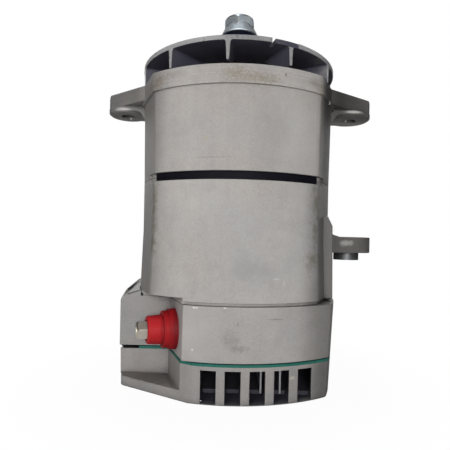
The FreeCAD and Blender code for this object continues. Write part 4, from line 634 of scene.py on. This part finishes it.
def painted_side_shade(graph, left_shade, right_shade, middle_shade):
    """What the painted side shade leaves of the tone: less towards the sides, on the ears and on
    the lug.
    """
    x, y, height = graph.parts()
    start, end, amount = left_shade
    edge = graph.span(x, -start, -end, 0.0, amount)
    start, end, amount = right_shade
    forward = graph.span(y, FLANK_FRONT, FLANK_BACK, 1.0, FLANK_REST)
    edge = graph.plus(edge, graph.times(graph.span(x, start, end, 0.0, amount), forward))
    start, end, amount = middle_shade
    edge = graph.plus(edge, graph.span(graph.size(x), start, end, amount, 0.0))
    front = graph.beyond(graph.times(y, -1.0), EAR_FRONT, EAR_FRONT_SOFT)
    right = graph.times(graph.beyond(x, EAR_START, EAR_SOFT), front, EAR_RIGHT)
    left = graph.times(graph.beyond(graph.times(x, -1.0), EAR_START, EAR_SOFT), front,
                       graph.beyond(height, EAR_LOW, EAR_LOW_SOFT), EAR_LEFT)
    return graph.times(graph.rest(edge), graph.rest(right), graph.rest(left))


def slot_shade(graph):
    """Painted shade: 1 in the depth of the air slots behind the bowed faces, and nearly so on their
    sills.
    """
    x, y, height = graph.parts()
    reach = graph.distance(x, graph.minus(graph.size(y), ARC_CENTRE))
    deep = graph.span(reach, ARC_RADIUS - SLOT_FADE_END, ARC_RADIUS - SLOT_FADE_START, 1.0, 0.0)
    middle = graph.times(graph.beyond(x, SLOT_LEFT, SLOT_LEFT_SOFT),
                         graph.span(x, SLOT_REACH, SLOT_REACH + SLOT_REACH_SOFT, 1.0, 0.0))
    depth = graph.times(deep, graph.beyond(height, SLOT_FLOOR, SLOT_FLOOR_SOFT), middle)
    along = graph.minus(x, SLOT_FIRST - SLOT_PITCH / 2)
    place = graph.minus(graph.math("FLOORED_MODULO", along, SLOT_PITCH), SLOT_PITCH / 2)
    row = SLOT_PITCH * SLOT_COUNT
    across = graph.times(
        graph.span(graph.size(place), SLOT_HALF - SLOT_SOFT, SLOT_HALF + SLOT_SOFT, 1.0, 0.0),
        graph.beyond(along, 0.0, SLOT_SOFT), graph.span(along, row - SLOT_SOFT, row, 1.0, 0.0))
    sill = graph.times(across, graph.beyond(graph.size(y), SILL_FACE, SILL_FACE_SOFT),
                       graph.span(height, SILL_TOP - SILL_SOFT, SILL_TOP, 1.0, 0.0), SILL_SHADE)
    return graph.math("MAXIMUM", depth, sill)


def casting(name, colour, side_shades, stains, glints=(), stripes=(), slotted=False, turned_above=None):
    """Sandblasted aluminium: cloudy tone, grain, specks, painted shade in recesses and slots, worn
    edges, stains, painted side shade and painted highlights.
    """
    graph = Graph(name)
    mottle = graph.noise(*CAST_MOTTLE)
    fine = graph.noise(*CAST_FINE)
    shade = toned(graph, colour, weighed(graph, graph.noise(*CAST_CLOUD), CLOUD_SWING),
                  weighed(graph, mottle, MOTTLE_SWING), weighed(graph, fine, FINE_SWING),
                  weighed(graph, graph.noise(*CAST_GRIT), GRIT_SWING),
                  weighed(graph, graph.noise(*CAST_STREAK), STREAK_SWING))
    cool = graph.span(graph.noise(*CAST_COOL), *COOL_RANGE)
    tint = tuple(part * share for part, share in zip(colour, COOL_TINT))
    shade = graph.mix(graph.times(cool, COOL_SHARE), shade,
                      toned(graph, tint, weighed(graph, fine, FINE_SWING),
                            weighed(graph, mottle, MOTTLE_SWING)))
    specks = graph.span(graph.noise(*CAST_SPECKS), *SPECK_RANGE)
    shade = graph.mix(graph.times(specks, SPECK_SHARE), shade, PALE)
    dots = graph.span(graph.noise(*CAST_DOTS), *DOT_RANGE)
    shade = graph.mix(graph.times(dots, DOT_SHARE), shade, SOOT_AND_SHADE)
    # Painted shade in near recesses, and black painted shade in deep recesses and in the air slots
    near_shade = graph.hollow(*NEAR_HOLLOW)
    shade = graph.mix(graph.times(near_shade, graph.span(mottle, *NEAR_SHARE)), shade, SOOT_AND_SHADE)
    deep_shade = graph.hollow(*DEEP_HOLLOW)
    if slotted:
        deep_shade = graph.math("MAXIMUM", deep_shade, slot_shade(graph))
    shade = graph.mix(graph.times(deep_shade, DEEP_SHARE), shade, DEEP_SHADE_BLACK)
    worn = graph.times(graph.edges(WORN_REACH), graph.rest(near_shade))
    shade = graph.mix(graph.times(worn, graph.span(fine, *WORN_SHARE)), shade, PALE)
    # Stripes: painted shade and a painted highlight on the roof, stains on the apron
    for start, end, width, tint, strength in stripes:
        shade = graph.mix(graph.times(graph.stripe(start, end, width), strength), shade, tint)
    shade = patched(graph, shade, stains, STAIN_SOFT)
    # Painted side shade: darker towards the sides, in the middle, on the ears and on the lug
    side_shade = painted_side_shade(graph, *side_shades)
    if turned_above is not None:
        swing = graph.times(weighed(graph, graph.noise(*CAST_LINES), LINE_SWING),
                            graph.beyond(graph.height(), turned_above, LINE_SOFT))
        side_shade = graph.times(side_shade, graph.plus(swing, 1.0))
    # Painted highlights over the painted side shade
    shade = patched(graph, scaled(graph, shade, side_shade), glints, GLINT_SOFT)
    graph.set("Base Color", shade)
    graph.set("Metallic", CAST_METALLIC)
    graph.set("Roughness", graph.span(mottle, *SWING_RANGE, *CAST_ROUGHNESS, False))
    graph.set("Specular IOR Level", CAST_SPECULAR)
    graph.set("Normal", graph.bump(fine, CAST_FINE_BUMP, FIRM,
                                   graph.bump(mottle, CAST_MOTTLE_BUMP, SOFT)))
    return graph.material


def metal(name, colour, roughness, grain=EVEN, scale=500.0, swing=0.12, bump=0.00004, tint=None,
          metallic=1.0):
    """Machined or plated metal with fine lines or specks."""
    graph = Graph(name)
    lines = graph.noise(scale, *LINE_DETAIL, grain)
    shade = toned(graph, colour, weighed(graph, lines, swing),
                  weighed(graph, graph.noise(*METAL_CLOUD), swing))
    if tint is not None:
        shade = graph.mix(graph.span(graph.noise(*PLATE_CLOUD), *PLATE_RANGE), shade,
                          toned(graph, tint, weighed(graph, lines, swing)))
    graph.set("Base Color", shade)
    graph.set("Metallic", metallic)
    graph.set("Roughness", graph.span(lines, *SWING_RANGE, roughness * METAL_LOW,
                                      roughness * METAL_HIGH, False))
    graph.set("Normal", graph.bump(lines, bump, FIRM))
    return graph.material


def moulding(name, colour, roughness=0.5, scale=700.0, swing=0.2, bump=0.00006, specular=0.5):
    """Moulded plastic, rubber or paper with a fine skin."""
    graph = Graph(name)
    skin = graph.noise(scale, *LINE_DETAIL)
    cloud = graph.noise(*SKIN_CLOUD)
    graph.set("Base Color",
              toned(graph, colour, weighed(graph, skin, swing), weighed(graph, cloud, swing)))
    graph.set("Roughness", graph.span(cloud, *SWING_RANGE, roughness * SKIN_LOW,
                                      roughness * SKIN_HIGH, False))
    graph.set("Specular IOR Level", specular)
    graph.set("Normal", graph.bump(skin, bump, FIRM))
    return graph.material


def boot_finish():
    """Red rubber: satin skin, painted shade on the collar and in its grooves, painted shadow by the
    wall, and darker below.
    """
    graph = Graph("rubber_red")
    skin = graph.noise(*RUBBER_SKIN)
    cloud = graph.noise(*METAL_CLOUD)
    x, _, height = graph.parts()
    shade = toned(graph, BOOT_RED, weighed(graph, skin, 0.16), weighed(graph, cloud, 0.22))
    # Painted shade on the collar, painted shadow by the wall, painted shade in the grooves
    collar = graph.span(x, BOOT_COLLAR - BOOT_COLLAR_SOFT, BOOT_COLLAR + BOOT_COLLAR_SOFT,
                        0.0, BOOT_COLLAR_SHARE)
    shade = graph.mix(collar, shade, BOOT_COLLAR_SHADE_RED)
    wall = graph.span(x, BOOT_WALL, BOOT_WALL + BOOT_WALL_RUN, 0.0, BOOT_WALL_SHARE)
    shade = graph.mix(wall, shade, BOOT_WALL_SHADOW_RED)
    low = graph.span(height, BOOT_LOW - BOOT_LOW_RUN, BOOT_LOW, BOOT_LOW_SHARE, 0.0)
    shade = graph.mix(low, shade, BOOT_LOW_RED)
    groove = graph.times(graph.hollow(*BOOT_HOLLOW), BOOT_HOLLOW_SHARE)
    shade = graph.mix(groove, shade, BOOT_GROOVE_SHADE_RED)
    worn = graph.times(graph.edges(BOOT_EDGE), BOOT_WORN_SHARE)
    graph.set("Base Color", graph.mix(worn, shade, BOOT_WORN_RED))
    graph.set("Roughness", graph.span(cloud, *SWING_RANGE, *BOOT_ROUGHNESS, False))
    graph.set("Specular IOR Level", BOOT_SPECULAR)
    graph.set("Normal", graph.bump(skin, BOOT_BUMP, FIRM))
    return graph.material


def terminal_finish():
    """Yellow-plated nut: painted light on its lower faces and painted shade on its upper faces."""
    graph = Graph("zinc_terminal")
    lines = graph.noise(*TERMINAL_LINES)
    # Painted shade on the upper faces, painted light on the lower faces
    upper_shade = graph.span(graph.height(), TERMINAL_LEVEL - TERMINAL_SOFT,
                      TERMINAL_LEVEL + TERMINAL_SOFT)
    bright = toned(graph, TERMINAL_LIT, weighed(graph, lines, 0.2))
    shaded_zinc = toned(graph, TERMINAL_SHADED, weighed(graph, lines, 0.3))
    graph.set("Base Color", graph.mix(upper_shade, bright, shaded_zinc))
    graph.set("Metallic", TERMINAL_METALLIC)
    graph.set("Roughness", graph.span(lines, *SWING_RANGE, *TERMINAL_ROUGHNESS, False))
    graph.set("Normal", graph.bump(lines, ZINC_BUMP, FIRM))
    return graph.material


def nut_finish():
    """Blue-white zinc plate, with painted shade on the skirt's cone and on the domed top."""
    graph = Graph("zinc_nut")
    height = graph.height()
    lines = graph.noise(*NUT_LINES)
    cloud = graph.span(graph.noise(*PLATE_CLOUD), *NUT_PALE_RANGE)
    plate = graph.mix(cloud, toned(graph, NUT_PLATE, weighed(graph, lines, 0.2)),
                      toned(graph, NUT_PLATE_PALE, weighed(graph, lines, 0.2)))
    # Painted shade on the skirt's cone and on the dome
    cone = graph.plus(graph.times(height, -NUT_CONE_SLOPE),
                      NUT_CONE_RADIUS + NUT_CONE_SLOPE * NUT_CONE_HEIGHT)
    off = graph.size(graph.minus(graph.radius(), cone))
    skirt = graph.times(graph.span(off, *NUT_SKIRT_SOFT, 1.0, 0.0),
                        graph.span(height, *NUT_SKIRT_START))
    plate = graph.mix(skirt, plate, NUT_SKIRT_SHADE)
    dome = graph.span(height, NUT_DOME_SHADE_START - NUT_DOME_SOFT, NUT_DOME_SHADE_START + NUT_DOME_SOFT)
    graph.set("Base Color", graph.mix(graph.times(dome, NUT_DOME_SHARE), plate, NUT_DOME_SHADE))
    graph.set("Metallic", NUT_METALLIC)
    graph.set("Roughness", graph.span(lines, *SWING_RANGE, *NUT_ROUGHNESS, False))
    graph.set("Normal", graph.bump(lines, ZINC_BUMP, FIRM))
    return graph.material


def lamination_finish():
    """Black varnished sheets: fine edge lines with a soft gloss."""
    graph = Graph("lamination_finish")
    wave = graph.math("SINE", graph.times(graph.height(), math.tau / SHEET_PITCH))
    rough = graph.noise(*SHEET_ROUGH)
    graph.set("Base Color", toned(graph, SHEET_BLACK, weighed(graph, rough, 0.6),
                                  weighed(graph, graph.noise(*SHEET_CLOUD), 0.6)))
    graph.set("Roughness", graph.span(graph.noise(*SKIN_CLOUD), *SWING_RANGE,
                                      *SHEET_ROUGHNESS, False))
    graph.set("Specular IOR Level", SHEET_SPECULAR)
    graph.set("Normal", graph.bump(wave, 0.00006, 0.5, graph.bump(rough, 0.0001, 0.5)))
    return graph.material


def fan_finish():
    """Black paint, with the rim and the blade edges turned bright; painted light on the bare metal
    towards the sides and on one blade face.
    """
    graph = Graph("fan_finish")
    wear = graph.noise(*FAN_WEAR)
    paint = toned(graph, FAN_PAINT, weighed(graph, graph.noise(*FAN_CLOUD), 0.8),
                  weighed(graph, wear, 0.5))
    dust = graph.span(graph.noise(*FAN_DUST), *FAN_DUST_RANGE)
    paint = graph.mix(graph.times(dust, FAN_DUST_SHARE), paint, FAN_DUST_TONE)
    # Dust and painted light on one blade face
    paint = patched(graph, paint, FAN_DUST_AND_LIGHT, GLINT_SOFT)
    bare = toned(graph, FAN_BARE, weighed(graph, wear, 0.6),
                 weighed(graph, graph.noise(*FAN_LINES), 0.4))
    pits = graph.span(graph.noise(*FAN_PITS), *FAN_PIT_RANGE)
    bare = graph.mix(graph.times(pits, FAN_PIT_SHARE), bare, FAN_PIT_TONE)
    x, _, _ = graph.parts()
    # Painted light: the bare metal is brighter towards the sides
    bare = scaled(graph, bare, graph.span(graph.size(x), *FAN_BARE_PAINTED_LIGHT, False))
    turned_off = graph.span(graph.plus(graph.radius(), weighed(graph, wear, FAN_BARE_RAGGED)),
                            *FAN_BARE_EDGE)
    graph.set("Base Color", graph.mix(turned_off, paint, bare))
    graph.set("Metallic", graph.times(turned_off, FAN_BARE_METALLIC))
    graph.set("Roughness", graph.span(turned_off, 0.0, 1.0, *FAN_ROUGHNESS, False))
    graph.set("Specular IOR Level", FAN_SPECULAR)
    graph.set("Normal", graph.bump(wear, 0.00012, 0.5))
    return graph.material


def winding_finish(name, pitch):
    """Enamelled copper wire: fine turns under dark varnish."""
    graph = Graph(name)
    run = graph.plus(graph.radius(), graph.height())
    turns = graph.math("SINE", graph.times(run, math.tau / pitch))
    rough = graph.noise(*WIRE_ROUGH)
    graph.set("Base Color", graph.mix(graph.span(turns, *WIRE_GROOVE),
                                      toned(graph, WIRE_COPPER, weighed(graph, rough, 0.8)),
                                      WIRE_VARNISH))
    graph.set("Metallic", WIRE_METALLIC)
    graph.set("Roughness", WIRE_ROUGHNESS)
    graph.set("Normal", graph.bump(turns, 0.0003, 0.7, graph.bump(rough, 0.0004, 0.4)))
    return graph.material


# One finish for each kind of surface; its first word is the material's name
cast_drive = casting("cast_drive_end", (0.385, 0.366, 0.350), (SIDE_SHADE_LEFT, DRIVE_RIGHT, SIDE_SHADE_MIDDLE),
                     DRIVE_STAINS, DRIVE_GLINTS, turned_above=LIP_LOW)
cast_rear = casting("cast_rear", (0.415, 0.396, 0.379), (SIDE_SHADE_LEFT, REAR_RIGHT, SIDE_SHADE_MIDDLE),
                    REAR_STAINS, REAR_GLINTS)
cast_skirt = casting("cast_rectifier", (0.362, 0.346, 0.333),
                     (SKIRT_LEFT, SKIRT_RIGHT, SKIRT_MIDDLE), SKIRT_STAINS, stripes=ROOF_STRIPES)
cast_cover = casting("cast_cover", (0.300, 0.285, 0.273), (NO_SIDE_SHADE, COVER_RIGHT, NO_SIDE_SHADE),
                     COVER_STAINS, stripes=APRON_STRIPES, slotted=True)
zinc = metal("zinc_blue", (0.22, 0.255, 0.275), 0.36, scale=700.0, tint=(0.27, 0.295, 0.305),
             metallic=0.8)
nut_zinc = nut_finish()
yellow_zinc = metal("zinc_yellow", (0.28, 0.255, 0.190), 0.42, tint=(0.24, 0.225, 0.185),
                    metallic=0.75)
dark_steel = moulding("steel_black", (0.005, 0.006, 0.014), 0.55, 500.0, 0.3, 0.00004, 0.03)
bush_steel = metal("steel_bush", (0.115, 0.120, 0.124), 0.47, grain=(0.2, 0.2, 6.0), scale=420.0,
                   metallic=0.75)
turned_steel = metal("steel_turned", (0.56, 0.55, 0.53), 0.24, grain=(0.2, 0.2, 6.0), scale=420.0)
ground_steel = metal("steel_ground", (0.60, 0.60, 0.60), 0.20, grain=(0.3, 0.3, 4.0))
pressed_steel = metal("steel_pressed", (0.42, 0.42, 0.41), 0.38)
pole_iron = metal("iron_forged", (0.10, 0.095, 0.09), 0.55, scale=180.0, swing=0.3, bump=0.0002)
slip_copper = metal("copper_turned", (0.62, 0.30, 0.17), 0.26, grain=(0.2, 0.2, 6.0))
busbar_copper = metal("copper_tinned", (0.62, 0.58, 0.52), 0.36)
sink_metal = metal("sink_aluminium", (0.22, 0.22, 0.23), 0.50, grain=(1.0, 0.3, 1.0), scale=260.0)
case_metal = metal("diode_nickel", (0.50, 0.48, 0.44), 0.33)
stud_metal = metal("stud_plated", (0.60, 0.50, 0.32), 0.34)
black_plastic = moulding("plastic_black", (0.018, 0.018, 0.019))
carbon = moulding("carbon_pressed", (0.022, 0.022, 0.023), 0.62, 300.0, 0.4, 0.0001)
red_rubber = boot_finish()
terminal_zinc = terminal_finish()
green_paper = moulding("gasket_green", (0.019, 0.130, 0.102), 0.62, 350.0, 0.55, 0.0001, 0.2)
laminations = lamination_finish()
fan_paint = fan_finish()
stator_copper = winding_finish("copper_stator", 0.0021)
field_copper = winding_finish("copper_field", 0.0016)

FINISH = {
    "drive_end_housing": cast_drive, "rear_housing": cast_rear, "rectifier_housing": cast_skirt,
    "end_cover": cast_cover, "end_gasket": green_paper, "stator_core": laminations,
    "stator_winding": stator_copper, "through_bolts": zinc,
    "front_bearing_outer_ring": ground_steel, "front_bearing_inner_ring": ground_steel,
    "front_bearing_balls": ground_steel, "front_bearing_cage": pressed_steel,
    "rear_bearing_outer_ring": ground_steel, "rear_bearing_inner_ring": ground_steel,
    "rear_bearing_rollers": ground_steel, "rear_bearing_cage": pressed_steel,
    "bearing_retainer": pressed_steel, "retainer_screws": zinc, "shaft": turned_steel,
    "pulley_key": ground_steel, "front_claw_pole": pole_iron, "rear_claw_pole": pole_iron,
    "field_bobbin": black_plastic, "field_coil": field_copper, "slip_rings": slip_copper,
    "slip_ring_carrier": black_plastic, "fan": fan_paint, "fan_spacer": turned_steel,
    "shaft_washer": dark_steel, "shaft_nut": nut_zinc, "brush_holder": black_plastic,
    "lower_brush": carbon, "upper_brush": carbon, "lower_brush_spring": pressed_steel,
    "upper_brush_spring": pressed_steel, "voltage_regulator": black_plastic,
    "positive_heat_sink": sink_metal, "negative_heat_sink": sink_metal,
    "positive_diodes": case_metal, "negative_diodes": case_metal,
    "rectifier_insulators": black_plastic, "rectifier_bolts": zinc, "bus_bar": busbar_copper,
    "output_stud": stud_metal, "stud_insulator": black_plastic, "stud_inner_nut": yellow_zinc,
    "terminal_boot": red_rubber, "terminal_washer": yellow_zinc, "terminal_nut": terminal_zinc,
    "cover_screws": zinc, "skirt_screws": zinc, "pivot_bush": bush_steel,
}
for name, finish in FINISH.items():
    node = NODES[name]
    node.data.materials.clear()
    node.data.materials.append(finish)


def linked(name, data):
    """New object in the scene."""
    item = bpy.data.objects.new(name, data)
    bpy.context.scene.collection.objects.link(item)
    return item


def raised_roof(point):
    """The roof of the terminal block a little flatter, so that its outer edge is higher."""
    if point.z > ROOF_LOW and point.x < ROOF_HINGE:
        share = ROOF_FRONT_SHARE + (1 - ROOF_FRONT_SHARE) * (point.y - ROOF_FRONT) / ROOF_RUN
        point.z += ROOF_TURN * (ROOF_HINGE - point.x) * min(max(share, ROOF_FRONT_SHARE), 1.0)


def drafted_wall(point):
    """The cover's left wall drawn in a little, and more so at the tip of the apron."""
    if point.x < DRAFT_SIDE and point.z < DRAFT_TOP:
        point.x += DRAFT_STEP + DRAFT_LEAN * (DRAFT_TOP - point.z) / DRAFT_TOP
        if point.y < TIP_FRONT and point.z < TIP_TOP:
            point.x += TIP_INWARD


SHAPING = {"rectifier_housing": raised_roof, "end_cover": drafted_wall}


def reach_of(corners):
    """Lowest and highest x, y and z of a set of vertices."""
    columns = list(zip(*(corner.co for corner in corners)))
    return [min(column) for column in columns], [max(column) for column in columns]


def smoothed(mesh, angle):
    """Smooth shading, with edges beyond an angle kept sharp."""
    for polygon in mesh.polygons:
        polygon.use_smooth = True
    mesh.set_sharp_from_angle(angle=angle)


def softened(name, width):
    """Copy of a node with its sharp edges rounded, shown in the node's place."""
    mesh = NODES[name].data.copy()
    work = bmesh.new()
    work.from_mesh(mesh)
    bmesh.ops.remove_doubles(work, verts=work.verts, dist=WELD)
    if name in SHAPING:
        for corner in work.verts:
            SHAPING[name](corner.co)
    low, high = reach_of(work.verts)
    bmesh.ops.dissolve_limit(work, angle_limit=FLAT_ANGLE, verts=work.verts, edges=work.edges)
    sharp = [edge for edge in work.edges
             if len(edge.link_faces) == 2 and edge.calc_face_angle(0.0) > SHARP_ANGLE]
    bmesh.ops.bevel(work, geom=sharp, offset=width, offset_type="OFFSET", segments=BEVEL_STEPS,
                    profile=BEVEL_PROFILE, affect="EDGES", clamp_overlap=False, loop_slide=True)
    for corner in work.verts:
        corner.co = [min(max(value, least), most)
                     for value, least, most in zip(corner.co, low, high)]
    bmesh.ops.triangulate(work, faces=[face for face in work.faces if len(face.verts) > 4])
    bmesh.ops.recalc_face_normals(work, faces=work.faces)
    work.to_mesh(mesh)
    work.free()
    smoothed(mesh, SMOOTH_ANGLE)
    piece = linked(name + "_soft", mesh)
    even = piece.modifiers.new("even_shading", "WEIGHTED_NORMAL")
    even.keep_sharp = True
    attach(piece, NODES[name]["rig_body"])
    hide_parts(name)


for name, width in SOFT_EDGES.items():
    softened(name, width)


def closed_piece(name, rings, node):
    """Closed surface through rings of points, the last joined to the first, in a node's place."""
    count = len(rings[0])
    points = [point for ring in rings for point in ring]
    faces = []
    for index in range(len(rings)):
        here, after = index * count, (index + 1) % len(rings) * count
        for step in range(count):
            beside = (step + 1) % count
            faces.append((here + step, here + beside, after + beside, after + step))
    mesh = bpy.data.meshes.new(name)
    mesh.from_pydata(points, [], faces)
    smoothed(mesh, NUT_SHARP)
    mesh.materials.append(FINISH[node])
    piece = linked(name, mesh)
    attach(piece, NODES[node]["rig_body"])
    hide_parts(node)


def node_tube(node):
    """Bore radius, outer radius, bottom and top of a ring-shaped node."""
    corners = NODES[node].data.vertices
    radii = [math.hypot(corner.co.x, corner.co.y) for corner in corners]
    heights = [corner.co.z for corner in corners]
    return min(radii), max(radii), min(heights), max(heights)


def circle(radius, height):
    """Ring of points; the radius may be a rule of the angle."""
    ring = []
    for step in range(NUT_STEPS):
        angle = NUT_TURN + math.tau * step / NUT_STEPS
        reach = radius(angle) if callable(radius) else radius
        ring.append((reach * math.cos(angle), reach * math.sin(angle), height))
    return ring


def hexagon_reach(angle):
    """Distance from the axis to the hexagon's side at an angle."""
    return NUT_INNER / math.cos((angle - NUT_TURN) % (math.pi / 3) - math.pi / 6)


def build_nut():
    """Flanged nut with a domed top, in the place of the plain hexagon on its washer."""
    bore, _, _, top = node_tube("shaft_nut")
    rings = []
    for height, skirt in NUT_SKIRT:
        if height > NUT_RIM_TOP:
            rings.append(circle(lambda angle: max(hexagon_reach(angle), skirt), height))
        else:
            rings.append(circle(skirt, height))
    for step in range(NUT_DOME_STEPS + 1):
        rise = step / NUT_DOME_STEPS
        dome = NUT_DOME_RADIUS + NUT_DOME_BULGE * math.sqrt(1 - rise * rise)
        height = NUT_DOME_LOW + (top - NUT_DOME_LOW) * rise
        rings.append(circle(lambda angle: min(hexagon_reach(angle), dome), height))
    rings += [circle(bore, top), circle(bore, NUT_SKIRT[0][0])]
    closed_piece("shaft_nut_flanged", rings, "shaft_nut")


def build_washer():
    """Black ring that reaches from the fan up to the nut's flange."""
    bore, outer, low, _ = node_tube("shaft_washer")
    high = NUT_SKIRT[0][0]
    profile = ((bore, low), (outer - WASHER_EDGE, low), (outer, low + WASHER_EDGE),
               (outer, high - WASHER_EDGE), (outer - WASHER_EDGE, high), (bore, high))
    closed_piece("shaft_washer_ring", [circle(radius, height) for radius, height in profile],
                 "shaft_washer")


build_nut()
build_washer()


def area_light(name, place, size, power, colour):
    """Round lamp aimed at the middle of the object, out of the camera's sight."""
    data = bpy.data.lights.new(name, "AREA")
    data.shape = "DISK"
    data.size = size
    data.energy = power
    data.color = colour
    lamp = linked(name, data)
    lamp.location = place
    aim = Vector(MIDDLE) - Vector(place)
    lamp.rotation_euler = aim.to_track_quat("-Z", "Y").to_euler()
    lamp.visible_camera = False


def dark_card(name, near, far):
    """Upright dark card between two floor points, hidden from the camera and from shadows."""
    corners = [(*near, 0.0), (*far, 0.0), (*far, CARD_HEIGHT), (*near, CARD_HEIGHT)]
    mesh = bpy.data.meshes.new(name)
    mesh.from_pydata(corners, [], [(0, 1, 2, 3)])
    card = linked(name, mesh)
    graph = Graph(name + "_felt")
    graph.set("Base Color", CARD_FELT)
    graph.set("Roughness", 1.0)
    graph.set("Specular IOR Level", 0.0)
    mesh.materials.append(graph.material)
    card.visible_camera = False
    card.visible_shadow = False
    card.visible_transmission = False


def build_world():
    """White to the camera and in reflections, and a plain soft level on the object."""
    world = bpy.data.worlds.new("studio")
    bpy.context.scene.world = world
    world.use_nodes = True
    tree = world.node_tree
    tree.nodes.clear()
    output = tree.nodes.new("ShaderNodeOutputWorld")
    path = tree.nodes.new("ShaderNodeLightPath")
    seen = path.outputs["Is Camera Ray"]
    for name in ("Is Glossy Ray", "Is Transmission Ray"):
        join = tree.nodes.new("ShaderNodeMath")
        join.operation = "MAXIMUM"
        tree.links.new(seen, join.inputs[0])
        tree.links.new(path.outputs[name], join.inputs[1])
        seen = join.outputs[0]
    mix = tree.nodes.new("ShaderNodeMixShader")
    tree.links.new(seen, mix.inputs[0])
    for index, (colour, level) in enumerate(((WORLD_COLOUR, WORLD_LEVEL), (WHITE, 1.0)), 1):
        ground = tree.nodes.new("ShaderNodeBackground")
        ground.inputs["Color"].default_value = colour
        ground.inputs["Strength"].default_value = level
        tree.links.new(ground.outputs[0], mix.inputs[index])
    tree.links.new(mix.outputs[0], output.inputs[0])


def build_floor():
    """Pale floor that is white to the camera and keeps a soft shadow near the object."""
    half = FLOOR_HALF
    mesh = bpy.data.meshes.new("floor")
    mesh.from_pydata([(-half, -half, 0), (half, -half, 0), (half, half, 0), (-half, half, 0)], [],
                     [(0, 1, 2, 3)])
    floor = linked("floor", mesh)
    floor.location.z = -FLOOR_DROP
    graph = Graph("floor_white")
    tree = graph.tree
    tree.nodes.remove(graph.shader)
    diffuse = tree.nodes.new("ShaderNodeBsdfDiffuse")
    diffuse.inputs["Color"].default_value = FLOOR_COLOUR
    glow = tree.nodes.new("ShaderNodeEmission")
    glow.inputs["Color"].default_value = WHITE
    path = tree.nodes.new("ShaderNodeLightPath")
    across, along, _ = graph.parts()
    under = graph.times(graph.span(along, UNDER_FRONT - UNDER_SOFT, UNDER_FRONT + UNDER_SOFT),
                        graph.span(graph.size(across), *UNDER_SIDE, 1.0, 0.0),
                        graph.span(along, *UNDER_BACK, 1.0, 0.0))
    seen = graph.math("MAXIMUM", path.outputs["Is Camera Ray"], path.outputs["Is Transmission Ray"])
    white = graph.times(graph.span(graph.radius(), *FLOOR_WHITE), graph.rest(under), seen)
    mix = tree.nodes.new("ShaderNodeMixShader")
    tree.links.new(white, mix.inputs[0])
    tree.links.new(diffuse.outputs[0], mix.inputs[1])
    tree.links.new(glow.outputs[0], mix.inputs[2])
    tree.links.new(mix.outputs[0], graph.output.inputs[0])
    mesh.materials.append(graph.material)


def build_camera():
    data = bpy.data.cameras.new("camera")
    data.sensor_width = SENSOR
    data.lens = FOCAL_PIXELS / IMAGE * SENSOR
    data.shift_x = (IMAGE / 2 - CENTRE_X) / IMAGE
    data.shift_y = (CENTRE_Y - IMAGE / 2) / IMAGE
    data.clip_start = CLIP_START
    camera = linked("camera", data)
    camera.matrix_world = (Matrix.Translation(EYE) @ Matrix.Rotation(math.radians(90), 4, "X")
                           @ Matrix.Rotation(ROLL, 4, "Z"))
    bpy.context.scene.camera = camera


for light in LIGHTS:
    area_light(*light)
for card in CARDS:
    dark_card(*card)
build_world()
build_floor()
build_camera()
bpy.context.scene.view_settings.view_transform = "Standard"
